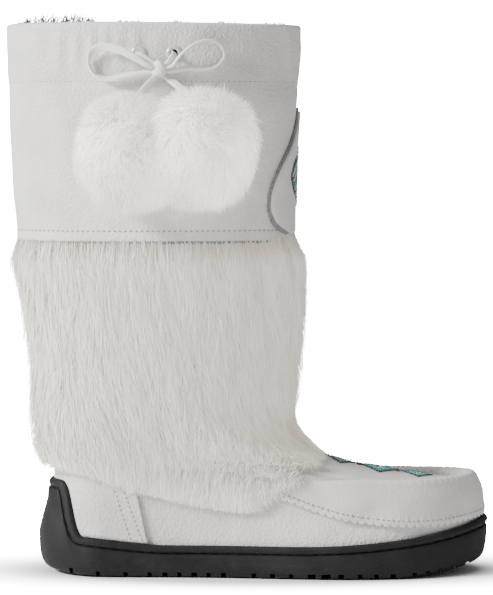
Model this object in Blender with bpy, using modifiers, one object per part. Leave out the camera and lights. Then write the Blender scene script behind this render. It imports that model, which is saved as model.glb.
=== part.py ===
"""A right-foot winter boot: a moccasin foot on a rubber cup sole, a fur shaft and a leather cuff with a bow.

Units are metres, +Z is up and the toe points along +X. The origin is on the floor, under the middle of the
sole's length. The outer side of the boot is at -Y and the inner side at +Y.
"""

import math
from collections import namedtuple

import bmesh
import bpy
import numpy as np
from mathutils import Matrix, Vector

MM = 0.001

# Sole
SOLE_LENGTH = 275.5 * MM
BALL_WIDTH = 98.0 * MM
HEEL_WIDTH = 70.0 * MM
TOE_CURVE = 7.0 * MM
TOE_ROUND = 54.0 * MM
HEEL_ROUND = 36.0 * MM
SOLE_FLOOR = 9.0 * MM
SOLE_SIDE = 19.5 * MM
TOE_BUMPER = 33.5 * MM
HEEL_CUP = 57.5 * MM
SOLE_WALL = 4.2 * MM
BEAD_HEIGHT = 4.4 * MM
TOE_SPRING = 8.0 * MM
HEEL_RISE = 4.0 * MM
LUG_DEPTH = 3.4 * MM
LUG_GROOVE = 3.0 * MM
TREAD_SPINE = 12.0 * MM

# Leather foot and shaft
LEATHER = 2.4 * MM
INSTEP_RISE = 62.5 * MM
TOE_ROLL = 9.0 * MM
HEEL_LEAN = 5.5 * MM
COLLAR_HEIGHT = 334.0 * MM
SHAFT_DEPTH = 176.7 * MM
SHAFT_WIDTH = 92.0 * MM
SHAFT_OVERHANG = 22.0 * MM

# Pieces on the leather
OVERLAY = 1.2 * MM
INSOLE = 4.0 * MM
CUFF_LEATHER = 1.6 * MM
CUFF_HEIGHT = 128.0 * MM
FUR_DEPTH = 7.5 * MM
FUR_TUCK = 8.0 * MM
LOCK_LENGTH = 26.0 * MM
LOCK_WIDTH = 13.0 * MM
LOCK_LIFT = 2.0 * MM
LOCK_FLATNESS = 0.4
SCALLOP_PITCH = 4.8 * MM
SCALLOP_RADIUS = 1.7 * MM
TAB_HEIGHT = 78.0 * MM
TAB_HALF_WIDTH = 37.0 * MM
TAB_LEATHER = 1.8 * MM

# Drawstring and pompoms
LACE = 3.0 * MM
EYELET_RADIUS = 4.4 * MM
EYELET_HOLE = 2.2 * MM
EYELET_BARREL = 3.0 * MM
EYELET_FLANGE = 0.9 * MM
EYELET_SPACING = 20.7 * MM
EYELET_DROP = 18.5 * MM
BOW_X = -65.0 * MM
KNOT_WIDTH = 9.8 * MM
KNOT_HEIGHT = 12.4 * MM
POMPOM_RADIUS = 26.0 * MM
POMPOM_LOCK = 7.0 * MM

# Clearance between pieces that touch
GAP = 0.3 * MM
# Clearance where facets of unlike pieces lie over each other
FIT = 0.7 * MM
FUR_SLACK = 1.0 * MM
TAB_STAND = 1.2 * MM

HALF_COLUMNS = 20
COLUMNS = 2 * HALF_COLUMNS

# Half widths along the sole: 0 is the heel's half width and 1 the ball's
Station = namedtuple("Station", "share outer inner")
PLAN = (
    Station(share=0.00, outer=0.00, inner=0.00),
    Station(share=0.16, outer=0.03, inner=0.00),
    Station(share=0.40, outer=0.20, inner=-0.12),
    Station(share=0.56, outer=0.62, inner=0.36),
    Station(share=0.70, outer=1.00, inner=0.92),
    Station(share=0.84, outer=0.93, inner=0.96),
    Station(share=1.00, outer=0.50, inner=0.60),
)

# How close the columns of points stand along the outline, as shares of the widest spacing
Spacing = namedtuple("Spacing", "share density")
COLUMN_SPACING = (
    Spacing(share=0.00, density=0.33),
    Spacing(share=0.14, density=0.38),
    Spacing(share=0.30, density=1.00),
    Spacing(share=0.72, density=0.90),
    Spacing(share=0.92, density=0.55),
    Spacing(share=1.00, density=0.50),
)

# Rings of the foot, from the feather edge to the throat. front is a share of the span from the shaft's front
# to the toe wall, the lifts are shares of the instep's rise, lean is a share of the heel's lean, inset a share
# of the toe's roll, foot how much of the sole's plan the ring keeps, spring how much of the tread's rise it
# follows, half a share of the shaft's half width, and the ovals say how far each end is drawn out from the
# foot's own round towards a full oval.
FootRing = namedtuple(
    "FootRing", "name front front_lift lean back_lift inset foot spring half front_oval back_oval"
)
FOOT_RINGS = (
    FootRing("feather", 0.975, 0.000, 0.00, 0.00, 0.20, 1.00, 1.00, 0.90, 0.00, 0.00),
    FootRing("wall_low", 0.995, 0.200, 0.00, 0.22, 0.02, 1.00, 1.00, 0.90, 0.00, 0.00),
    FootRing("wall_mid", 1.000, 0.415, 0.45, 0.47, 0.00, 1.00, 0.80, 0.90, 0.00, 0.00),
    FootRing("wall_top", 0.990, 0.600, 0.90, 0.69, 0.12, 1.00, 0.60, 0.90, 0.00, 0.00),
    FootRing("ridge", 0.955, 0.730, 1.00, 0.82, 0.56, 0.92, 0.35, 0.90, 0.00, 0.02),
    FootRing("crease", 0.905, 0.680, 0.90, 1.01, 1.15, 0.80, 0.35, 0.88, -0.20, 0.10),
    FootRing("plug_toe", 0.745, 0.730, 0.73, 1.13, 1.25, 0.62, 0.20, 0.91, -0.10, 0.20),
    FootRing("plug_rear", 0.479, 0.815, 0.27, 1.27, 1.20, 0.45, 0.10, 0.91, 0.00, 0.33),
    FootRing("instep", 0.279, 0.895, -0.10, 1.43, 0.90, 0.30, 0.00, 0.92, 0.10, 0.48),
    FootRing("throat", 0.146, 1.000, -0.36, 1.56, 0.40, 0.18, 0.00, 0.92, 0.25, 0.63),
)

# Rings of the shaft: front and back are shares of its depth. A lift up to 1 is a share of the rise from the
# instep to the cuff's foot, and what it has over 1 is a share of the cuff's height.
ShaftRing = namedtuple("ShaftRing", "name front front_lift back back_lift half front_oval back_oval")
SHAFT_RINGS = (
    ShaftRing("ankle", 0.979, 0.09, 0.107, 0.36, 0.92, 0.60, 0.76),
    ShaftRing("shin_low", 0.954, 0.23, 0.102, 0.44, 0.94, 0.85, 0.88),
    ShaftRing("shaft_mid", 0.979, 0.70, 0.065, 0.74, 0.99, 1.00, 1.00),
    ShaftRing("cuff_foot", 0.976, 1.00, 0.031, 1.00, 1.01, 1.00, 1.00),
    ShaftRing("cuff_mid", 0.983, 1.42, 0.010, 1.42, 1.01, 1.00, 1.00),
    ShaftRing("collar", 1.000, 2.00, 0.000, 2.00, 1.00, 1.00, 1.00),
)

# The sole's side above the tread. The top rows are measured down from the top edge in bead heights, and the
# low rows up from the tread as shares of the height left. out is the wall's thickness in sole walls.
SideRow = namedtuple("SideRow", "name height out")
SIDE_TOP = (
    SideRow("shoulder", 1.36, 1.02),
    SideRow("groove_foot", 1.24, 0.72),
    SideRow("groove_top", 1.02, 0.72),
    SideRow("bead_foot", 0.90, 0.97),
    SideRow("bead", 0.48, 1.04),
    SideRow("bead_top", 0.14, 0.88),
    SideRow("lip", 0.00, 0.45),
)
SIDE_LOW = (
    SideRow("tread_edge", 0.00, 0.25),
    SideRow("tread_round", 0.07, 0.85),
    SideRow("side_foot", 0.24, 1.08),
    SideRow("side_mid", 0.62, 1.10),
)

# Grooves between the lugs: the first one's place and their pitch are shares of the sole's length, and the
# width is a share of the groove's named width
LugGroup = namedtuple("LugGroup", "name first pitch count width")
LUG_GROUPS = (
    LugGroup("heel", 0.060, 0.062, 3, 0.9),
    LugGroup("arch", 0.237, 0.0325, 6, 1.0),
    LugGroup("waist", 0.467, 0.0415, 3, 1.1),
    LugGroup("ball", 0.596, 0.0310, 3, 1.7),
    LugGroup("tread", 0.702, 0.0360, 3, 1.0),
    LugGroup("toe", 0.820, 0.0270, 6, 0.8),
)

# The fur's lower edge: place along the sole, and height as a share of the instep's height
HemPoint = namedtuple("HemPoint", "share height")
FUR_HEM = (
    HemPoint(share=0.00, height=0.92),
    HemPoint(share=0.10, height=0.87),
    HemPoint(share=0.20, height=0.74),
    HemPoint(share=0.30, height=0.65),
    HemPoint(share=0.40, height=0.58),
    HemPoint(share=0.48, height=0.57),
    HemPoint(share=0.53, height=0.69),
    HemPoint(share=0.58, height=0.82),
    HemPoint(share=0.62, height=0.94),
    HemPoint(share=0.66, height=1.20),
)

# Tiers of locks in the fur: share is the height of their roots from the hem, 0, to the cuff, 1, offset is a
# share of the spacing between two locks, and length a share of the named lock
FurTier = namedtuple("FurTier", "name share count offset length")
FUR_TIERS = (
    FurTier("hem", 0.07, 20, 0.0, 0.42),
    FurTier("low", 0.34, 13, 0.5, 1.0),
    FurTier("mid", 0.58, 13, 0.0, 1.0),
    FurTier("high", 0.80, 13, 0.5, 1.0),
)

# The vamp's scalloped edge: place along the sole, and height as a share of the instep's height
VAMP_EDGE = (
    HemPoint(share=0.50, height=0.74),
    HemPoint(share=0.58, height=0.61),
    HemPoint(share=0.66, height=0.51),
    HemPoint(share=0.76, height=0.45),
    HemPoint(share=0.88, height=0.44),
    HemPoint(share=1.00, height=0.495),
)

# The heel counter's front edge, as a place along the sole
COUNTER_EDGE = 0.19

# The tab's outline: height from its foot to its tip, and half width as a share of the widest
TabRow = namedtuple("TabRow", "height half")
TAB_ROWS = (
    TabRow(height=0.00, half=0.22),
    TabRow(height=0.06, half=0.62),
    TabRow(height=0.15, half=0.90),
    TabRow(height=0.30, half=1.00),
    TabRow(height=0.50, half=0.82),
    TabRow(height=0.72, half=0.46),
    TabRow(height=0.90, half=0.15),
    TabRow(height=1.00, half=0.03),
)

# Points of the lace on the cuff, in millimetres: forward and up from the middle between the eyelets, and out
# from the cuff's face to the lace's middle
BowPoint = namedtuple("BowPoint", "forward up out")
LACE_RUNS = {
    "drawstring_lead_front": (
        BowPoint(10.3, 0.0, 2.0),
        BowPoint(10.0, -1.2, 4.4),
        BowPoint(8.4, -3.6, 5.8),
        BowPoint(6.9, -5.6, 6.0),
    ),
    "drawstring_lead_rear": (
        BowPoint(-10.3, 0.0, 2.0),
        BowPoint(-9.4, -1.0, 4.4),
        BowPoint(-5.6, -3.4, 5.8),
        BowPoint(-2.6, -5.2, 6.0),
    ),
    "drawstring_loop_front": (
        BowPoint(7.8, -8.4, 8.0),
        BowPoint(14.0, -1.0, 8.6),
        BowPoint(22.0, 5.4, 7.8),
        BowPoint(30.2, 7.6, 6.4),
        BowPoint(36.6, 5.0, 5.2),
        BowPoint(38.9, -1.0, 4.6),
        BowPoint(35.0, -7.4, 4.4),
        BowPoint(27.2, -9.9, 4.6),
        BowPoint(18.0, -9.4, 5.0),
        BowPoint(7.9, -10.9, 5.2),
    ),
    "drawstring_loop_rear": (
        BowPoint(-3.4, -8.0, 8.0),
        BowPoint(-11.0, -3.4, 8.4),
        BowPoint(-21.0, 1.8, 7.6),
        BowPoint(-31.4, 3.6, 6.2),
        BowPoint(-37.4, 0.6, 5.2),
        BowPoint(-38.9, -5.1, 4.6),
        BowPoint(-36.0, -12.0, 4.4),
        BowPoint(-29.0, -15.2, 4.6),
        BowPoint(-18.0, -13.2, 5.0),
        BowPoint(-3.5, -11.4, 5.2),
    ),
    "drawstring_tail_front": (
        BowPoint(6.3, -14.6, 5.6),
        BowPoint(9.8, -17.4, 8.4),
        BowPoint(14.0, -21.6, 14.0),
    ),
    "drawstring_tail_rear": (
        BowPoint(-1.0, -15.0, 5.6),
        BowPoint(-4.0, -18.6, 8.0),
        BowPoint(-8.1, -24.4, 12.0),
    ),
}

# The pompoms: middle of each, forward and down from the middle between the eyelets, as shares of the radius
Pompom = namedtuple("Pompom", "name tail forward down stand")
POMPOMS = (
    Pompom(name="pompom_front", tail="drawstring_tail_front", forward=1.20, down=2.24, stand=1.20),
    Pompom(name="pompom_rear", tail="drawstring_tail_rear", forward=-0.83, down=2.42, stand=1.05),
)

TOE_X = SOLE_LENGTH / 2
HEEL_X = -SOLE_LENGTH / 2
TOE_FLAT_X = HEEL_X + 0.775 * SOLE_LENGTH
HEEL_FLAT_X = HEEL_X + 0.165 * SOLE_LENGTH
SPRING_POWER = 1.7
ROUND_POWER = 2.15
FUR_FIRST_ROW = 4
TAB_COLUMNS = 7
POMPOM_LOCKS = 34
UPPER_SEAT = SOLE_WALL + GAP
SHAFT_BACK_X = HEEL_X + UPPER_SEAT - SHAFT_OVERHANG
SHAFT_FRONT_X = SHAFT_BACK_X + SHAFT_RINGS[1].front * SHAFT_DEPTH
INSTEP_HEIGHT = SOLE_FLOOR + INSTEP_RISE
CUFF_FOOT = COLLAR_HEIGHT - CUFF_HEIGHT
CUFF_OUT = GAP + CUFF_LEATHER


def smooth(t):
    """0 to 1 with flat ends."""
    t = np.clip(t, 0.0, 1.0)
    return t * t * (3.0 - 2.0 * t)


def mix(a, b, t):
    return a + (b - a) * t


def through(xs, ys, x):
    """A smooth curve through the points (xs, ys), read at x."""
    xs, ys, x = np.asarray(xs, float), np.asarray(ys, float), np.asarray(x, float)
    slopes = np.gradient(ys, xs)
    i = np.clip(np.searchsorted(xs, x, side="right") - 1, 0, len(xs) - 2)
    span = xs[i + 1] - xs[i]
    t = np.clip((x - xs[i]) / span, 0.0, 1.0)
    rise = t * t * (3.0 - 2.0 * t)
    start = t * (1.0 - t) ** 2 * span * slopes[i]
    end = -t * t * (1.0 - t) * span * slopes[i + 1]
    return ys[i] + (ys[i + 1] - ys[i]) * rise + start + end


def tread_rise(x):
    """How far the tread has left the floor: toe spring in front and a small rise behind."""
    toe = np.clip((x - TOE_FLAT_X) / (TOE_X - TOE_FLAT_X), 0.0, None)
    heel = np.clip((HEEL_FLAT_X - x) / (HEEL_FLAT_X - HEEL_X), 0.0, None)
    return TOE_SPRING * toe**SPRING_POWER + HEEL_RISE * heel**SPRING_POWER


def plan_half(share, side):
    """The sole's half width at a share of its length, without the round of its ends."""
    reach = through([s.share for s in PLAN], [getattr(s, side) for s in PLAN], share)
    return mix(HEEL_WIDTH / 2, BALL_WIDTH / 2, reach)


def end_round(distance, length):
    """The share of the width that is left at a distance from a rounded end."""
    t = np.clip(distance / length, 0.0, 1.0)
    return (1.0 - (1.0 - t) ** ROUND_POWER) ** (1.0 / ROUND_POWER)


def column_shares():
    """Places along a half ring from the toe, 1, to the heel, 0, closer together where the outline bends."""
    turn = np.linspace(0.0, math.pi, 800)
    share = (1.0 + np.cos(turn)) / 2
    x = HEEL_X + share * SOLE_LENGTH
    y = plan_half(share, "outer") * end_round(TOE_X - x, TOE_ROUND) * end_round(x - HEEL_X, HEEL_ROUND)
    steps = np.hypot(np.diff(x), np.diff(y))
    middle = (share[1:] + share[:-1]) / 2
    density = through([s.share for s in COLUMN_SPACING], [s.density for s in COLUMN_SPACING], middle)
    travelled = np.concatenate([[0.0], np.cumsum(steps / density)])
    wanted = np.linspace(0.0, travelled[-1], HALF_COLUMNS + 1)
    return np.interp(wanted, travelled, share)


SHARES = column_shares()


def shaft_height(lift):
    """The height of a lift from the shaft's table."""
    return INSTEP_HEIGHT + min(lift, 1.0) * (CUFF_FOOT - INSTEP_HEIGHT) + max(lift - 1.0, 0.0) * CUFF_HEIGHT


def resolved_rings():
    """Every ring of the leather with absolute sizes, from the feather edge to the collar."""
    toe_wall = TOE_X - UPPER_SEAT
    heel_wall = HEEL_X + UPPER_SEAT
    rings = []
    for r in FOOT_RINGS:
        rings.append(
            dict(
                front=mix(SHAFT_FRONT_X, toe_wall, r.front),
                back=heel_wall + r.lean * HEEL_LEAN,
                front_lift=SOLE_FLOOR + GAP + r.front_lift * INSTEP_RISE,
                back_lift=SOLE_FLOOR + GAP + r.back_lift * INSTEP_RISE,
                inset=UPPER_SEAT + r.inset * TOE_ROLL,
                foot=r.foot,
                spring=r.spring,
                half=r.half * SHAFT_WIDTH / 2,
                front_oval=r.front_oval,
                back_oval=r.back_oval,
            )
        )
    for r in SHAFT_RINGS:
        rings.append(
            dict(
                front=SHAFT_BACK_X + r.front * SHAFT_DEPTH,
                back=SHAFT_BACK_X + r.back * SHAFT_DEPTH,
                front_lift=shaft_height(r.front_lift),
                back_lift=shaft_height(r.back_lift),
                inset=UPPER_SEAT,
                foot=0.0,
                spring=0.0,
                half=r.half * SHAFT_WIDTH / 2,
                front_oval=r.front_oval,
                back_oval=r.back_oval,
            )
        )
    return rings


def half_ring(ring, side):
    """Points of one side of a ring, from the toe to the heel."""
    x = mix(ring["back"], ring["front"], SHARES)
    toe_inset = mix(UPPER_SEAT, ring["inset"], smooth((SHARES - 0.56) / 0.22))
    plan = plan_half(SHARES, side) - toe_inset
    half = mix(ring["half"], plan, ring["foot"])
    oval = SHAFT_DEPTH / 2
    front_round = mix(TOE_ROUND, oval, ring["front_oval"])
    back_round = mix(HEEL_ROUND, oval, ring["back_oval"])
    half = half * end_round(ring["front"] - x, front_round) * end_round(x - ring["back"], back_round)
    centre = ring["foot"] * TOE_CURVE * np.clip((SHARES - 0.5) / 0.5, 0.0, 1.0) ** 2
    sign = -1.0 if side == "outer" else 1.0
    lift = mix(ring["back_lift"], ring["front_lift"], smooth(SHARES))
    z = lift + ring["spring"] * tread_rise(x)
    return np.stack([x, centre + sign * half, z], axis=1)


def leather_grid():
    """The leather's outer surface as rings of points, and its outward normals."""
    rows = []
    for ring in resolved_rings():
        outer = half_ring(ring, "outer")
        inner = half_ring(ring, "inner")
        rows.append(np.concatenate([outer, inner[-2:0:-1]]))
    grid = np.array(rows)
    beside = np.roll(grid, -1, axis=1)
    faces = np.cross(grid[1:] - beside[:-1], beside[1:] - grid[:-1])
    faces /= np.linalg.norm(faces, axis=2, keepdims=True)
    pairs = faces + np.roll(faces, 1, axis=1)
    normals = np.concatenate([pairs[:1], pairs[1:] + pairs[:-1], pairs[-1:]])
    normals /= np.linalg.norm(normals, axis=2, keepdims=True)
    return grid, normals


GRID, NORMALS = leather_grid()
TOP_ROW = len(GRID) - 1
CUFF_ROW = len(FOOT_RINGS) + [r.name for r in SHAFT_RINGS].index("cuff_foot")


def skin(row, column, out=0.0):
    """A point on the leather at a row and column, which need not be whole, or out from it."""
    row = min(max(row, 0.0), float(TOP_ROW))
    low = min(int(row), TOP_ROW - 1)
    first = int(math.floor(column))
    a, b = first % COLUMNS, (first + 1) % COLUMNS
    t, s = row - low, column - first
    point = mix(mix(GRID[low, a], GRID[low + 1, a], t), mix(GRID[low, b], GRID[low + 1, b], t), s)
    normal = mix(mix(NORMALS[low, a], NORMALS[low + 1, a], t), mix(NORMALS[low, b], NORMALS[low + 1, b], t), s)
    return point + out * normal / np.linalg.norm(normal)


def row_over(column, curve):
    """The row at which a column, followed up from the sole, first rises over a curve of height against x."""
    below = 0.0
    for row in range(TOP_ROW + 1):
        point = skin(row, column)
        above = point[2] - float(curve(point[0]))
        if above >= 0.0:
            return row - above / (above - below) if row else 0.0
        below = above
    return float(TOP_ROW)


def row_at(column, height):
    """The row at which a column first reaches a height."""
    return row_over(column, lambda x: height)


def column_lengths(column):
    """The distance from the sole to each row, measured up a column on the leather."""
    points = np.array([skin(row, column) for row in range(TOP_ROW + 1)])
    return np.concatenate([[0.0], np.cumsum(np.linalg.norm(np.diff(points, axis=0), axis=1))])


def row_after(column, row, distance):
    """The row that lies a distance further up a column."""
    rows, lengths = range(TOP_ROW + 1), column_lengths(column)
    return float(np.interp(np.interp(row, rows, lengths) + distance, lengths, rows))


def held_between(row, low, high):
    """A row kept between two edges. One that is nearly at an edge moves onto it, and leaves no sliver."""
    if row < low + 0.1:
        return low
    return high if row > high - 0.1 else row


def edge_curve(points):
    """A height against x from a table of places along the sole and shares of the instep's height."""
    shares, heights = [p.share for p in points], [p.height for p in points]
    return lambda x: INSTEP_HEIGHT * float(through(shares, heights, (x - HEEL_X) / SOLE_LENGTH))


def column_at(x, height):
    """The column on the outer side whose point at that height lies at x."""
    columns = np.arange(HALF_COLUMNS + 1)
    places = [skin(row_at(c, height), c)[0] for c in columns]
    return float(np.interp(-x, -np.array(places), columns))


def on_cuff(x, height, out):
    """A point out from the cuff's outer face, on the boot's outer side."""
    column = column_at(x, height)
    return Vector(skin(row_at(column, height), column, CUFF_OUT + out))


def share_of(column):
    """A column's place along the sole, from the heel, 0, to the toe, 1."""
    folded = min(column % COLUMNS, COLUMNS - column % COLUMNS)
    return float(np.interp(folded, np.arange(HALF_COLUMNS + 1), SHARES))


def column_of(share):
    """The column on the outer side at a place along the sole."""
    return float(np.interp(-share, -SHARES, np.arange(HALF_COLUMNS + 1)))


def side_top(share):
    """The height of the sole's top edge at a share of its length."""
    toe = np.clip((share - 0.55) / 0.45, 0.0, 1.0) ** 2
    distance = share * SOLE_LENGTH / HEEL_ROUND
    cup = 0.85 * (1.0 - smooth((distance - 0.20) / 0.36)) + 0.15 * (1.0 - smooth(distance / 2.2))
    return SOLE_SIDE + (TOE_BUMPER - SOLE_SIDE) * toe + (HEEL_CUP - SOLE_SIDE) * cup


def material(name, colour, roughness, metallic=0.0):
    made = bpy.data.materials.new(name)
    made.use_nodes = True
    shader = made.node_tree.nodes["Principled BSDF"]
    shader.inputs["Base Color"].default_value = (*colour, 1.0)
    shader.inputs["Roughness"].default_value = roughness
    shader.inputs["Metallic"].default_value = metallic
    return made


def new_collection(name):
    made = bpy.data.collections.new(name)
    bpy.context.scene.collection.children.link(made)
    return made


def object_from(bm, name, collection, look=None):
    """A named object from a bmesh, with its doubles merged. A closed one gets its faces pointing out."""
    bmesh.ops.remove_doubles(bm, verts=bm.verts, dist=0.02 * MM)
    if all(edge.is_manifold for edge in bm.edges):
        bmesh.ops.recalc_face_normals(bm, faces=bm.faces)
    mesh = bpy.data.meshes.new(name)
    bm.to_mesh(mesh)
    bm.free()
    made = bpy.data.objects.new(name, mesh)
    if look:
        mesh.materials.append(look)
        mesh.shade_smooth()
        mesh.set_sharp_from_angle(angle=math.radians(40))
    else:
        made.hide_render = True
        made.display_type = "WIRE"
    collection.objects.link(made)
    return made


def bridge(bm, first, second, closed):
    """Quads between two rows of vertices, facing outwards where the second row is the higher one."""
    count = len(first)
    for i in range(count if closed else count - 1):
        k = (i + 1) % count
        corners = []
        for vert in (first[i], second[i], second[k], first[k]):
            if vert not in corners:
                corners.append(vert)
        bm.faces.new(corners)


def surface(rows, closed=True):
    """An open sheet through rows of points."""
    bm = bmesh.new()
    lines = [[bm.verts.new(p) for p in row] for row in rows]
    for low, high in zip(lines, lines[1:]):
        bridge(bm, low, high, closed)
    return bm


def solidify(obj, thickness, offset):
    """Gives a sheet a wall: offset 1 grows it outwards and -1 inwards."""
    made = obj.modifiers.new("wall", "SOLIDIFY")
    made.thickness = thickness
    made.offset = offset
    return made


def boolean(obj, tool, operation):
    made = obj.modifiers.new(operation.lower(), "BOOLEAN")
    made.operation = operation
    made.object = tool
    made.solver = "EXACT"
    return made


def centre_line(ring):
    """A ring drawn in to the line down its middle, so that a loft closes there."""
    return (ring + ring[(-np.arange(COLUMNS)) % COLUMNS]) / 2


def sole_side_point(column, height, out):
    """A point of the sole's wall: out from the leather, or under its feather edge."""
    point = skin(row_at(column, height), column, GAP + out)
    point[2] = height
    return point


def side_line():
    """The sole's top edge, rolled out flat: distance along the outline, height and column."""
    columns = np.arange(COLUMNS + 1)
    base = np.array([skin(0, c) for c in columns])
    along = np.concatenate([[0.0], np.cumsum(np.linalg.norm(np.diff(base, axis=0), axis=1))])
    heights = np.array([float(side_top(share_of(c))) for c in columns])
    return along, heights, columns


def sole_rings():
    """Rings of the cup sole from the middle of its tread, round its side, and down to the middle of its floor."""
    along, heights, columns = side_line()
    slope = np.gradient(heights, along)
    tilt = np.stack([slope, -np.ones_like(slope)], axis=1) / np.hypot(slope, 1.0)[:, None]
    top_rings = {}
    for row in SIDE_TOP:
        drop = row.height * BEAD_HEIGHT
        ring = []
        for c in range(COLUMNS):
            place = (along[c] + drop * tilt[c, 0]) % along[-1]
            column = float(np.interp(place, along, columns))
            ring.append(sole_side_point(column, heights[c] + drop * tilt[c, 1], row.out * SOLE_WALL))
        top_rings[row.name] = np.array(ring)
    shoulder = top_rings["shoulder"]
    low_rings = []
    for row in SIDE_LOW:
        ring = []
        for c in range(COLUMNS):
            foot = sole_side_point(c, 0.0, row.out * SOLE_WALL)
            foot[2] = tread_rise(foot[0])
            point = mix(foot, shoulder[c], row.height)
            side = sole_side_point(c, point[2], row.out * SOLE_WALL)
            point[:2] = mix(side[:2], shoulder[c][:2], row.height**3)
            ring.append(point)
        low_rings.append(np.array(ring))
    tread = centre_line(low_rings[0])
    tread[:, 2] = tread_rise(tread[:, 0])
    inner = []
    for row in (TOP_ROW, 3, 2, 1, 0):
        ring = []
        for c in range(COLUMNS):
            top = row_at(c, heights[c] - 0.1 * BEAD_HEIGHT)
            ring.append(skin(min(row, top), c, FIT))
        inner.append(np.array(ring))
    inner[-1][:, 2] -= GAP
    floor = centre_line(inner[-1])
    floor[:, 2] = SOLE_FLOOR + tread_rise(floor[:, 0])
    inner[-1][:, 2] = SOLE_FLOOR + tread_rise(inner[-1][:, 0])
    return [tread, *low_rings, *top_rings.values(), *inner, floor]


def lug_cutters(collection):
    """Slanting grooves from each side of the tread to its middle spine."""
    bm = bmesh.new()
    reach = BALL_WIDTH
    for group in LUG_GROUPS:
        for i in range(group.count):
            x = HEEL_X + (group.first + i * group.pitch) * SOLE_LENGTH
            lift = float(tread_rise(x))
            slope = math.atan2(float(tread_rise(x + MM)) - float(tread_rise(x - MM)), 2 * MM)
            for side in (-1, 1):
                size = Matrix.Diagonal((group.width * LUG_GROOVE, reach, 2 * LUG_DEPTH, 1))
                turn = Matrix.Rotation(side * math.radians(8), 4, "Z") @ Matrix.Rotation(-slope, 4, "Y")
                place = Matrix.Translation((x, side * (TREAD_SPINE + reach) / 2, lift))
                bmesh.ops.create_cube(bm, size=1, matrix=place @ turn @ size)
    return object_from(bm, "lug_cutters", collection)


def make_outsole(parts, cutters, rubber):
    sole = object_from(surface(sole_rings()), "outsole", parts, rubber)
    boolean(sole, lug_cutters(cutters), "DIFFERENCE")
    return sole


def make_insole(parts, felt):
    inside = -(LEATHER + 2 * GAP)
    low = np.array([skin(0, c, inside) for c in range(COLUMNS)])
    low[:, 2] = SOLE_FLOOR + GAP + tread_rise(low[:, 0])
    high = low + np.array([0.0, 0.0, INSOLE])
    return object_from(surface([centre_line(low), low, high, centre_line(high)]), "insole", parts, felt)


def make_upper(parts, leather):
    upper = object_from(surface(GRID), "upper", parts, leather)
    solidify(upper, LEATHER, -1)
    return upper


def patch(name, parts, look, columns, low, high):
    """A leather overlay between two edges, each given as the row that it has in a column."""
    rows = []
    for row in range(TOP_ROW + 1):
        rows.append([skin(held_between(row, low(c), high(c)), c, FIT) for c in columns])
    made = object_from(surface(rows, closed=False), name, parts, look)
    solidify(made, OVERLAY, 1)
    return made


def hem_row(column, tuck=0.0):
    """The row of the fur's lower edge, or of an edge tucked up under it by a distance."""
    return row_after(column, row_over(column, edge_curve(FUR_HEM)), tuck)


def vamp_row(column):
    """The row of the vamp's scalloped edge, which stays clear of the sole."""
    sole = float(side_top(share_of(column))) + 2 * GAP
    return max(row_over(column, edge_curve(VAMP_EDGE)), row_at(column, sole))


def scallop_cutters(collection):
    """Round bites along the vamp's edge."""
    ends = column_of(VAMP_EDGE[0].share)
    columns = np.linspace(-ends, ends, 400)
    points = np.array([skin(vamp_row(c), c, GAP + OVERLAY / 2) for c in columns])
    along = np.concatenate([[0.0], np.cumsum(np.linalg.norm(np.diff(points, axis=0), axis=1))])
    count = int(along[-1] / SCALLOP_PITCH)
    bm = bmesh.new()
    for i in range(1, count - 1):
        column = float(np.interp((i + 0.5) * SCALLOP_PITCH, along, columns))
        row = vamp_row(column)
        foot = Vector(skin(row, column, GAP + OVERLAY / 2))
        out = (Vector(skin(row, column, OVERLAY)) - Vector(skin(row, column))).normalized()
        turn = out.to_track_quat("Z", "Y").to_matrix().to_4x4()
        bmesh.ops.create_cone(
            bm,
            cap_ends=True,
            segments=4,
            radius1=SCALLOP_RADIUS,
            radius2=SCALLOP_RADIUS,
            depth=3 * OVERLAY,
            matrix=Matrix.Translation(foot) @ turn,
        )
    return object_from(bm, "scallop_cutters", collection)


def make_vamp(parts, cutters, leather):
    reach = int(column_of(VAMP_EDGE[0].share)) + 1
    columns = [c for c in range(-reach, reach + 1) if vamp_row(c) + 0.4 < hem_row(c, FUR_TUCK)]
    vamp = patch("vamp", parts, leather, columns, vamp_row, lambda c: hem_row(c, FUR_TUCK))
    boolean(vamp, scallop_cutters(cutters), "DIFFERENCE")
    return vamp


def make_counter(parts, leather):
    """The heel counter, from the sole's top edge to under the fur."""
    first = round(column_of(COUNTER_EDGE))

    def low(column):
        return row_at(column, float(side_top(share_of(column))) + 2 * GAP)

    columns = list(range(first, COLUMNS - first + 1))
    return patch("heel_counter", parts, leather, columns, low, lambda c: hem_row(c, FUR_TUCK))


def make_cuff(parts, cutters, leather):
    rings = [[skin(row, c, GAP) for c in range(COLUMNS)] for row in range(CUFF_ROW, TOP_ROW + 1)]
    cuff = object_from(surface(rings), "cuff", parts, leather)
    solidify(cuff, CUFF_LEATHER, 1)
    bm = bmesh.new()
    for centre, turn in eyelet_places().values():
        bmesh.ops.create_cone(
            bm,
            cap_ends=True,
            segments=16,
            radius1=EYELET_BARREL + GAP,
            radius2=EYELET_BARREL + GAP,
            depth=2 * CUFF_LEATHER,
            matrix=Matrix.Translation(centre) @ turn @ Matrix.Translation((0, 0, -CUFF_LEATHER / 2)),
        )
    boolean(cuff, object_from(bm, "eyelet_cutters", cutters), "DIFFERENCE")
    return cuff


def eyelet_places():
    """Each eyelet's centre on the cuff's face and the turn that points its axis outwards."""
    places = {}
    for name, side in (("eyelet_front", 1), ("eyelet_rear", -1)):
        x = BOW_X + side * EYELET_SPACING / 2
        height = COLLAR_HEIGHT - EYELET_DROP
        centre = on_cuff(x, height, 0.0)
        out = (on_cuff(x, height, EYELET_RADIUS) - centre).normalized()
        places[name] = (centre, out.to_track_quat("Z", "Y").to_matrix().to_4x4())
    return places


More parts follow.
